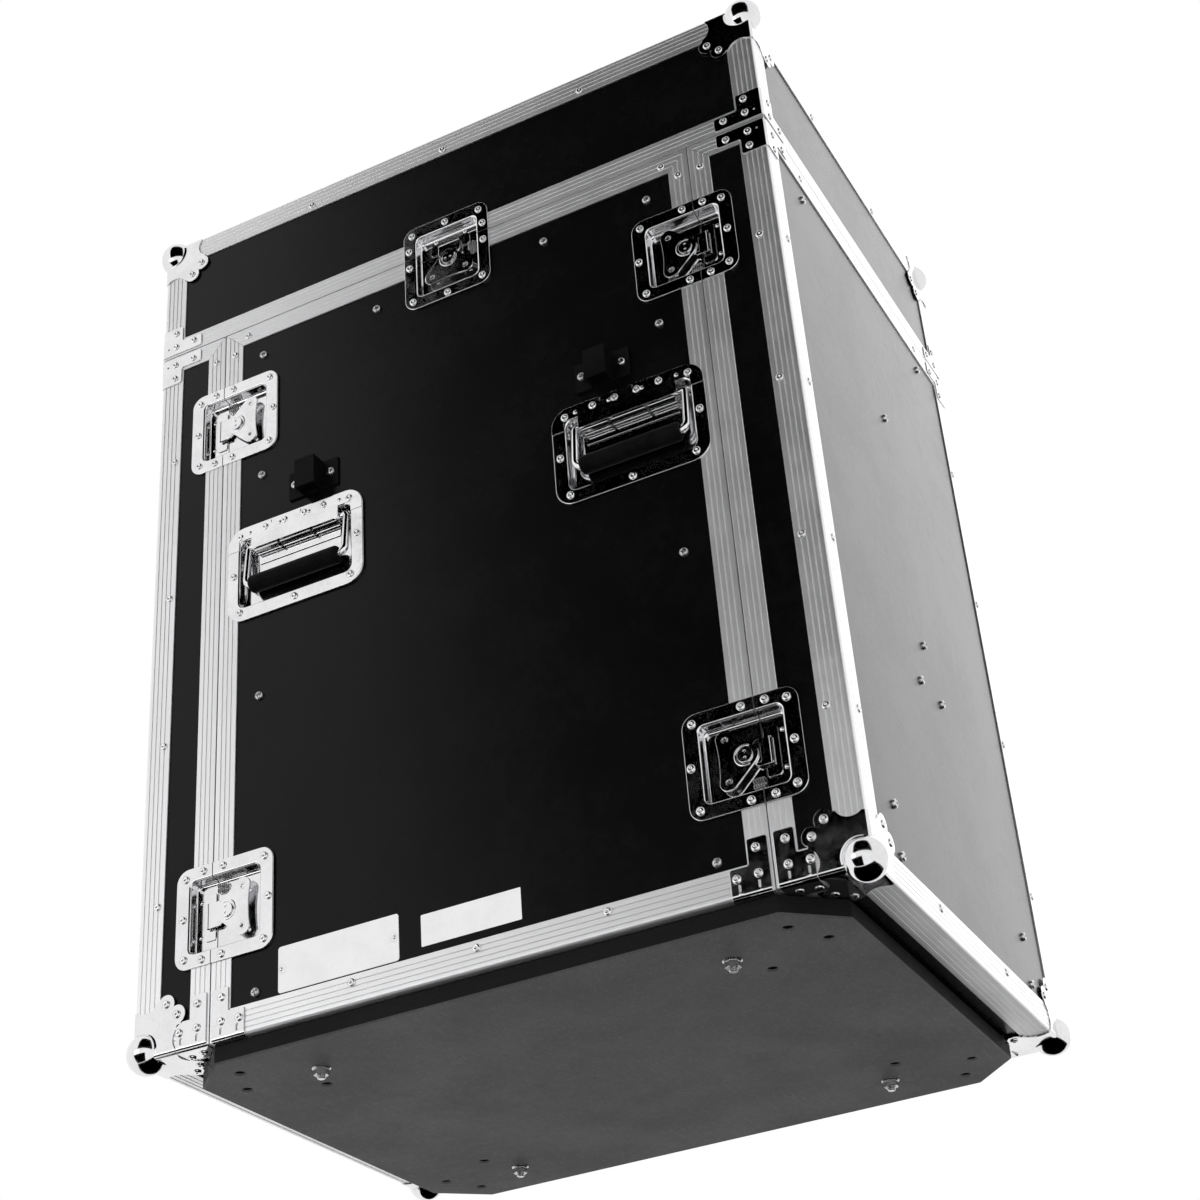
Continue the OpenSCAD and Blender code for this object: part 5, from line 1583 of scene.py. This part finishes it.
def domed_head_group():
    """Geometry group: one domed head on z = 0, with a dimple in its top."""
    group, graph, given, out = node_group(
        "Domed Head",
        {"Diameter": (FLOAT, 0.0094), "Height": (FLOAT, 0.0017), "Fullness": (FLOAT, 2.0),
         "Dimple Depth": (FLOAT, 0.0008), "Segments": ("NodeSocketInt", 14)},
        {"Geometry": "NodeSocketGeometry"}, "GeometryNodeTree")
    ball = graph.node("GeometryNodeMeshUVSphere", {
        "Segments": given["Segments"], "Rings": 9, "Radius": 1.0})
    at = graph.node("ShaderNodeSeparateXYZ", {0: graph.node("GeometryNodeInputPosition").outputs[0]})
    polar = graph.math("MULTIPLY", graph.math("ARCCOSINE", at.outputs[2]), 2 / math.pi)
    over = graph.math("LESS_THAN", polar, 1.0)
    folded = graph.math("MINIMUM", polar, graph.math("SUBTRACT", 2.0, polar))
    reach = graph.math("POWER", folded, 1.4)
    flat = graph.math("MAXIMUM", graph.math("SINE", graph.math("MULTIPLY", folded, math.pi / 2)), 0.001)
    widen = graph.math("MULTIPLY", graph.math("DIVIDE", reach, flat),
                       graph.math("MULTIPLY", given["Diameter"], 0.5))
    drop = graph.math("SUBTRACT", 1.0, graph.math("POWER", reach, given["Fullness"]))
    dome = graph.math("MULTIPLY", graph.math("POWER", graph.math("MAXIMUM", drop, 0.0), 0.5), given["Height"])
    hollow = graph.math("MULTIPLY", graph.ramp(reach, 0.36, 0.14), given["Dimple Depth"])
    height = graph.math("MULTIPLY", graph.math("SUBTRACT", dome, hollow), over)
    moved = graph.node("ShaderNodeCombineXYZ", {
        0: graph.math("MULTIPLY", at.outputs[0], widen), 1: graph.math("MULTIPLY", at.outputs[1], widen),
        2: height})
    head = graph.node("GeometryNodeSetPosition", {
        "Geometry": ball.outputs["Mesh"], "Position": moved.outputs[0]})
    graph.put(head.outputs[0], out["Geometry"])
    return group


def spread_over_points(graph, given, head, turned=False):
    """Puts a shape on each point along its own outward direction, and gives it its finish."""
    outward = graph.node("GeometryNodeInputNamedAttribute", {"Name": "outward"}, data_type="FLOAT_VECTOR")
    facing = graph.node("FunctionNodeAlignRotationToVector", {
        "Vector": outward.outputs["Attribute"]}, axis="Z")
    rotation = facing.outputs[0]
    if turned:
        angle = graph.node("FunctionNodeRandomValue", {3: math.pi, "Seed": 7}, data_type="FLOAT")
        twist = graph.node("ShaderNodeCombineXYZ", {2: angle.outputs[1]})
        euler = graph.node("FunctionNodeEulerToRotation", {0: twist.outputs[0]})
        turn = graph.node("FunctionNodeRotateRotation", {
            0: rotation, 1: euler.outputs[0]}, rotation_space="LOCAL")
        rotation = turn.outputs[0]
    placed = graph.node("GeometryNodeInstanceOnPoints", {
        "Points": given["Geometry"], "Instance": head, "Rotation": rotation})
    smooth = graph.node("GeometryNodeSetShadeSmooth", {"Geometry": placed.outputs[0]})
    real = graph.node("GeometryNodeRealizeInstances", {"Geometry": smooth.outputs[0]})
    return graph.node("GeometryNodeSetMaterial", {
        "Geometry": real.outputs[0], "Material": given["Finish"]}).outputs[0]


POINTS_IN = {"Geometry": ("NodeSocketGeometry", None), "Finish": ("NodeSocketMaterial", None)}
MESH_OUT = {"Geometry": "NodeSocketGeometry"}


def domed_head(graph, given, **shape):
    """A domed head of the given diameter and height."""
    head = graph.node("GeometryNodeGroup")
    head.node_tree = GROUPS["Domed Head"]
    for key in ("Diameter", "Height"):
        graph.put(given[key], head.inputs[key])
    for key, value in shape.items():
        head.inputs[key.replace("_", " ")].default_value = value
    return head.outputs[0]


def rivet_tree():
    """Geometry group: a rivet head on every point."""
    group, graph, given, out = node_group(
        "Rivet Heads", {**POINTS_IN, "Diameter": (FLOAT, 0.0094), "Height": (FLOAT, 0.0017)}, MESH_OUT,
        "GeometryNodeTree")
    head = domed_head(graph, given, Dimple_Depth=0.0011, Fullness=2.4)
    graph.put(spread_over_points(graph, given, head), out["Geometry"])
    return group


def screw_tree():
    """Geometry group: a screw head with a cross cut in it on every point."""
    group, graph, given, out = node_group(
        "Screw Heads", {**POINTS_IN, "Diameter": (FLOAT, 0.0104), "Height": (FLOAT, 0.0033),
                        "Cross Length": (FLOAT, 0.0052), "Cross Width": (FLOAT, 0.0011)}, MESH_OUT,
        "GeometryNodeTree")
    cut = domed_head(graph, given, Dimple_Depth=0.0, Fullness=4.0, Segments=24)
    depth = graph.math("MULTIPLY", given["Height"], 1.1)
    for along, across in (("Cross Length", "Cross Width"), ("Cross Width", "Cross Length")):
        size = graph.node("ShaderNodeCombineXYZ", {0: given[along], 1: given[across], 2: depth})
        bar = graph.node("GeometryNodeMeshCube", {"Size": size.outputs[0]})
        lift = graph.node("ShaderNodeCombineXYZ", {2: given["Height"]})
        lifted = graph.node("GeometryNodeTransform", {
            "Geometry": bar.outputs["Mesh"], "Translation": lift.outputs[0]})
        cross = graph.node("GeometryNodeMeshBoolean", operation="DIFFERENCE")
        graph.put(cut, cross.inputs[0])
        graph.tree.links.new(lifted.outputs[0], cross.inputs[1])
        cut = cross.outputs[0]
    graph.put(spread_over_points(graph, given, cut, turned=True), out["Geometry"])
    return group


def spring_tree():
    """Geometry group: a coil spring that starts at every point."""
    group, graph, given, out = node_group(
        "Coil Springs", {**POINTS_IN, "Coil Radius": (FLOAT, 0.0046), "Wire Radius": (FLOAT, 0.0005),
                         "Length": (FLOAT, 0.011), "Turns": (FLOAT, 7.0)}, MESH_OUT, "GeometryNodeTree")
    helix = graph.node("GeometryNodeCurveSpiral", {
        "Resolution": 20, "Rotations": given["Turns"], "Start Radius": given["Coil Radius"],
        "End Radius": given["Coil Radius"], "Height": given["Length"]})
    wire = graph.node("GeometryNodeCurvePrimitiveCircle", {"Resolution": 8, "Radius": given["Wire Radius"]})
    coil = graph.node("GeometryNodeCurveToMesh", {
        "Curve": helix.outputs[0], "Profile Curve": wire.outputs[0], "Fill Caps": True})
    graph.put(spread_over_points(graph, given, coil.outputs[0]), out["Geometry"])
    return group


def grow_on_points(name, body, tree, finish, spots, values, nodes=()):
    """Runs a tree over points in millimetres with their outward directions, as one plain mesh."""
    mesh = bpy.data.meshes.new(name + "_points")
    mesh.from_pydata([Vector(at) * 0.001 for at, _ in spots], [], [])
    outward = mesh.attributes.new("outward", "FLOAT_VECTOR", "POINT")
    outward.data.foreach_set("vector", [c for _, direction in spots for c in direction])
    carrier = bpy.data.objects.new(name + "_points", mesh)
    bpy.context.scene.collection.objects.link(carrier)
    modifier = carrier.modifiers.new("Heads", "NODES")
    modifier.node_group = GROUPS[tree]
    for item in GROUPS[tree].interface.items_tree:
        if item.in_out == "INPUT" and item.name in values:
            modifier[item.identifier] = values[item.name]
        elif item.in_out == "INPUT" and item.name == "Finish":
            modifier[item.identifier] = MATERIALS[finish]
    graph = bpy.context.evaluated_depsgraph_get()
    result = bpy.data.meshes.new_from_object(carrier.evaluated_get(graph))
    result.name = name
    carrier.modifiers.clear()
    bpy.data.objects.remove(carrier)
    bpy.data.meshes.remove(mesh)
    return dress(result, name, body, (), nodes, crease=75)


# Least side of the box round a fastener: below the first it is a flat head, up to the second a
# long screw, and above that it isn't a fastener to be drawn here
SCREW_SIZE = 6
LARGEST_SIZE = 11


def head_spots(node, long):
    """Seat and outward direction of each short head, or of each long screw, in a CAD node."""
    spots = []
    middle = Vector((0, 0, (CASE_Z + TOP_Z) / 2))
    for low, high in islands(node):
        size = high - low
        least = min(size)
        if long != (least > SCREW_SIZE) or least > LARGEST_SIZE:
            continue
        axis = list(size).index(max(size) if long else least)
        at = (low + high) / 2
        sign = 1 if at[axis] > middle[axis] else -1
        height = mm(sizes().screw_height) if long else size[axis]
        at[axis] = (high if sign > 0 else low)[axis] - sign * height
        direction = Vector((0, 0, 0))
        direction[axis] = sign
        spots.append((at, direction))
    return spots


class RACKCASE_OT_fasteners(PieceOperator, bpy.types.Operator):
    """Makes the rivets, the panel screws, the handle springs and the board's bolts"""

    bl_idname = "rack_case.fasteners"
    bl_label = "Rivets, Screws and Bolts"

    def execute(self, context):
        GROUPS["Domed Head"] = domed_head_group()
        GROUPS["Rivet Heads"] = rivet_tree()
        GROUPS["Screw Heads"] = screw_tree()
        GROUPS["Coil Springs"] = spring_tree()
        size = sizes()
        rivet = {"Diameter": size.rivet_diameter, "Height": size.rivet_height}
        screw = {"Diameter": size.screw_diameter, "Height": size.screw_height}
        for body in ("body", "lid", *COVERS):
            node = body + "_rivets"
            grow_on_points(body + "_rivet_heads", body, "Rivet Heads", "Rivet Aluminium",
                           head_spots(node, False), rivet, (node,))
        grow_on_points("body_panel_screws", "body", "Screw Heads", "Zinc Plate",
                       head_spots("panel_screws", True), screw, ("panel_screws",))
        for name in COVERS:
            grow_on_points(name + "_panel_screws", name, "Screw Heads", "Zinc Plate",
                           head_spots(name + "_rivets", True), screw)
        self.springs()
        self.bolts()
        return {"FINISHED"}

    def springs(self):
        """The springs on the hinge rods of the handles, and two at the back of each latch."""
        spots = []
        play = 0.5
        for low, high in islands("handle_springs"):
            middle = (low + high) / 2
            spots.append(((middle.x, low.y + play, middle.z), Y))
        length = (high.y - low.y - 2 * play) / 1000
        grow_on_points("handle_coil_springs", "body", "Coil Springs", "Spring Steel", spots,
                       {"Coil Radius": 0.0047, "Wire Radius": 0.0005, "Length": length, "Turns": 8.0},
                       ("handle_springs",))
        spots = []
        for _, _, matrix in latches():
            side = -1 if matrix.determinant() > 0 else 1
            for v in (24.5, 29.5):
                spots.append((matrix @ Vector((-12, side * v, FLOOR + 2.6)), matrix.col[0].xyz))
        grow_on_points("latch_coil_springs", "body", "Coil Springs", "Spring Steel", spots,
                       {"Coil Radius": 0.0017, "Wire Radius": 0.0005, "Length": 0.011, "Turns": 5.0})

    def bolts(self):
        """The bolts through the board: thread, shank and low round head inside the case."""
        builder = Builder()
        end = span("board_bolts")[0].z
        board = BOARD_LOW.z
        head = CASE_Z + DEEP
        pitch, root, crest, tip = 1.25, 3.45, 3.95, 0.7
        bolt = [(0, end), (3.2, end), (3.9, end + tip)]
        level = end + tip
        while level < board - 1:
            bolt += [(crest, level + 0.35), (root, level + 0.7), (root, level + 0.8), (crest, level + 1.15)]
            level += pitch
        bolt += [(3.9, board), (3.9, head), (9, head), (9, head + 0.6), (8.2, head + 1.7),
                 (6.2, head + 2.8), (3.4, head + 3.4), (0, head + 3.5)]
        for spot in bolt_spots():
            at = Matrix.Translation((*spot, 0))
            builder.turn(bolt, at, steps=20)
            self.nut(builder, at, board)
        builder.make("board_bolts_and_nuts", "body", "zinc", finish_list("Zinc Plate"), ("board_bolts",),
                     crease=35)

    def nut(self, builder, at, board):
        """Flange nut under the board: a turned flange and a chamfered hexagon."""
        bore, reach = 4.1, 9.0
        builder.turn([(bore, board - 0.1), (reach, board - 0.1), (reach, board - 0.7), (8.2, board - 1.3),
                      (6.4, board - 2.0), (bore, board - 2.0)], at, steps=36)
        builder.plate(circle(7.5, 6), board - 7.4, board - 1.6, at, bevel=0.5, holes=[circle(bore, 24)])


# --- stage --------------------------------------------------------------------------------------


def stage_card(name, corners, material, glossy_only=True):
    """A flat card of the stage; a glossy one is only seen in mirrored light."""
    mesh = bpy.data.meshes.new(name)
    mesh.from_pydata(corners, [], [tuple(range(len(corners)))])
    mesh.materials.append(material)
    card = bpy.data.objects.new(name, mesh)
    bpy.context.scene.collection.objects.link(card)
    if glossy_only:
        card.visible_camera = False
        card.visible_diffuse = False
        card.visible_shadow = False
        card.visible_transmission = False
        card.visible_volume_scatter = False


def soft_light(name, at, towards, width, height, level, glossy=True):
    """An area lamp of a given radiance, aimed at a point; it isn't seen by the camera."""
    data = bpy.data.lights.new(name, "AREA")
    data.shape = "RECTANGLE"
    data.size, data.size_y = width, height
    data.energy = level * math.pi * width * height
    lamp = bpy.data.objects.new(name, data)
    bpy.context.scene.collection.objects.link(lamp)
    lamp.location = at
    lamp.rotation_mode = "QUATERNION"
    lamp.rotation_quaternion = (Vector(towards) - Vector(at)).to_track_quat("-Z", "Y")
    lamp.visible_camera = False
    lamp.visible_glossy = glossy


# Level of the surroundings as a light; the camera and mirrored rays see them white
WORLD_LEVEL = 0.75
# Camera: place in metres, focal length in millimetres, and its heading, tilt and roll in degrees
CAMERA_AT = (-1.8349, -0.8818, -0.7153)
CAMERA_LENS = 66.29
CAMERA_HEADING = -64.968
CAMERA_TILT = 121.736
CAMERA_ROLL = -4.694
# Plane of the two cards that darken what the left side mirrors, and level of the card below
LEFT_CARDS_X = -2.26
LOW_CARD_Z = -1.0


class RACKCASE_OT_stage(PieceOperator, bpy.types.Operator):
    """Sets up the camera, the soft light, the white surroundings and the pale floor"""

    bl_idname = "rack_case.stage"
    bl_label = "Stage"

    def execute(self, context):
        self.camera()
        self.world()
        self.floor()
        self.lamps()
        context.scene.view_settings.view_transform = "Standard"
        return {"FINISHED"}

    def camera(self):
        data = bpy.data.cameras.new("Camera")
        data.lens = CAMERA_LENS
        data.sensor_width = 36
        data.clip_end = 50
        camera = bpy.data.objects.new("Camera", data)
        bpy.context.scene.collection.objects.link(camera)
        heading = Matrix.Rotation(math.radians(CAMERA_HEADING), 4, "Z")
        tilt = Matrix.Rotation(math.radians(CAMERA_TILT), 4, "X")
        roll = Matrix.Rotation(math.radians(CAMERA_ROLL), 4, "Z")
        camera.matrix_world = Matrix.Translation(CAMERA_AT) @ heading @ tilt @ roll
        bpy.context.scene.camera = camera

    def world(self):
        world = bpy.data.worlds.new("Surroundings")
        bpy.context.scene.world = world
        world.use_nodes = True
        graph = Graph(world.node_tree)
        shader = world.node_tree.nodes["Background"]
        rays = graph.node("ShaderNodeLightPath").outputs
        seen = graph.math("MAXIMUM", rays["Is Camera Ray"], rays["Is Glossy Ray"])
        seen = graph.math("MAXIMUM", seen, rays["Is Transmission Ray"])
        level = graph.math("ADD", WORLD_LEVEL, graph.math("MULTIPLY", seen, 1.0 - WORLD_LEVEL))
        graph.put(level, shader.inputs["Strength"])
        shader.inputs["Color"].default_value = (1, 1, 1, 1)

    def floor(self):
        """A pale floor that shows the case's shadow from above and nothing from below."""
        material = bpy.data.materials.new("Floor")
        material.use_nodes = True
        graph = Graph(material.node_tree)
        shader = material.node_tree.nodes["Principled BSDF"]
        shader.inputs["Base Color"].default_value = (0.9, 0.9, 0.9, 1)
        shader.inputs["Roughness"].default_value = 0.8
        shader.inputs["Specular IOR Level"].default_value = 0.0
        clear = graph.node("ShaderNodeBsdfTransparent")
        behind = graph.node("ShaderNodeNewGeometry").outputs["Backfacing"]
        seen = graph.node("ShaderNodeLightPath").outputs["Is Camera Ray"]
        hidden = graph.math("MAXIMUM", behind, graph.math("SUBTRACT", 1.0, seen))
        mixed = graph.node("ShaderNodeMixShader", {0: hidden})
        graph.put(shader.outputs[0], mixed.inputs[1])
        graph.put(clear.outputs[0], mixed.inputs[2])
        graph.put(mixed.outputs[0], material.node_tree.nodes["Material Output"].inputs["Surface"])
        reach = 6.0
        corners = [(-reach, -reach, 0), (reach, -reach, 0), (reach, reach, 0), (-reach, reach, 0)]
        stage_card("floor", corners, material, glossy_only=False)

    def lamps(self):
        black = bpy.data.materials.new("Black Flag")
        black.use_nodes = True
        shader = black.node_tree.nodes["Principled BSDF"]
        shader.inputs["Base Color"].default_value = (0, 0, 0, 1)
        shader.inputs["Specular IOR Level"].default_value = 0.0
        side = ((-3, 0.78), (1.1, 0.78), (1.2, 2), (1.5, 3.2), (2.6, 9), (-3, 9))
        low = ((-0.5, -2.5), (2.2, -2.5), (2.2, -0.15), (-0.5, -0.15))
        under = ((-1, -2), (2.2, -2), (2.2, 1.1), (-1, 1.1))
        stage_card("side_flag", [(LEFT_CARDS_X, y, z) for y, z in side], black)
        stage_card("low_flag", [(LEFT_CARDS_X, y, z) for y, z in low], black)
        stage_card("under_flag", [(x, y, LOW_CARD_Z) for x, y in under], black)
        middle = (0, 0, 0.5)
        soft_light("right_softbox", (2.6, -1.15, 2.45), (0, -1.15, 2.45), 1.6, 4.4, 0.58)
        soft_light("low_glow", (-2.3, 1.3, 0.3), (0, 1.3, 0.3), 1.2, 0.8, 1.0)
        soft_light("left_softbox", (-2.6, 1.6, 2.6), middle, 1.6, 1.6, 3.0, glossy=False)
        soft_light("front_softbox", (-0.9, -3.0, 1.6), middle, 1.6, 1.6, 1.0, glossy=False)
        soft_light("low_softbox", (-1.6, -1.6, -1.6), middle, 1.8, 1.8, 1.6, glossy=False)


# --- add-on -------------------------------------------------------------------------------------


STEPS = (RACKCASE_OT_finishes, RACKCASE_OT_panels, RACKCASE_OT_board, RACKCASE_OT_extrusions,
         RACKCASE_OT_corners, RACKCASE_OT_latches, RACKCASE_OT_handles, RACKCASE_OT_fasteners,
         RACKCASE_OT_stage)


class RACKCASE_PT_panel(bpy.types.Panel):
    """Lists the pieces of the case and their sizes and finishes"""

    bl_idname = "RACKCASE_PT_panel"
    bl_label = "Rack Case"
    bl_space_type = "VIEW_3D"
    bl_region_type = "UI"
    bl_category = "Rack Case"

    def draw(self, context):
        layout = self.layout
        for title, group in (("Sizes", context.scene.rack_case_sizes),
                             ("Finishes", context.scene.rack_case_finishes)):
            box = layout.box()
            box.label(text=title)
            for key in group.bl_rna.properties.keys():
                if key not in ("rna_type", "name"):
                    box.prop(group, key)
        for step in STEPS:
            layout.operator(step.bl_idname)


CLASSES = (RackCaseSizes, RackCaseFinishes, *STEPS, RACKCASE_PT_panel)


def register():
    for cls in CLASSES:
        bpy.utils.register_class(cls)
    bpy.types.Scene.rack_case_sizes = bpy.props.PointerProperty(type=RackCaseSizes)
    bpy.types.Scene.rack_case_finishes = bpy.props.PointerProperty(type=RackCaseFinishes)


def unregister():
    del bpy.types.Scene.rack_case_finishes
    del bpy.types.Scene.rack_case_sizes
    for cls in reversed(CLASSES):
        bpy.utils.unregister_class(cls)


def main():
    register()
    for step in STEPS:
        area, name = step.bl_idname.split(".")
        if getattr(getattr(bpy.ops, area), name)() != {"FINISHED"}:
            raise RuntimeError("step %s did not finish" % step.bl_label)


if __name__ == "__main__":
    main()
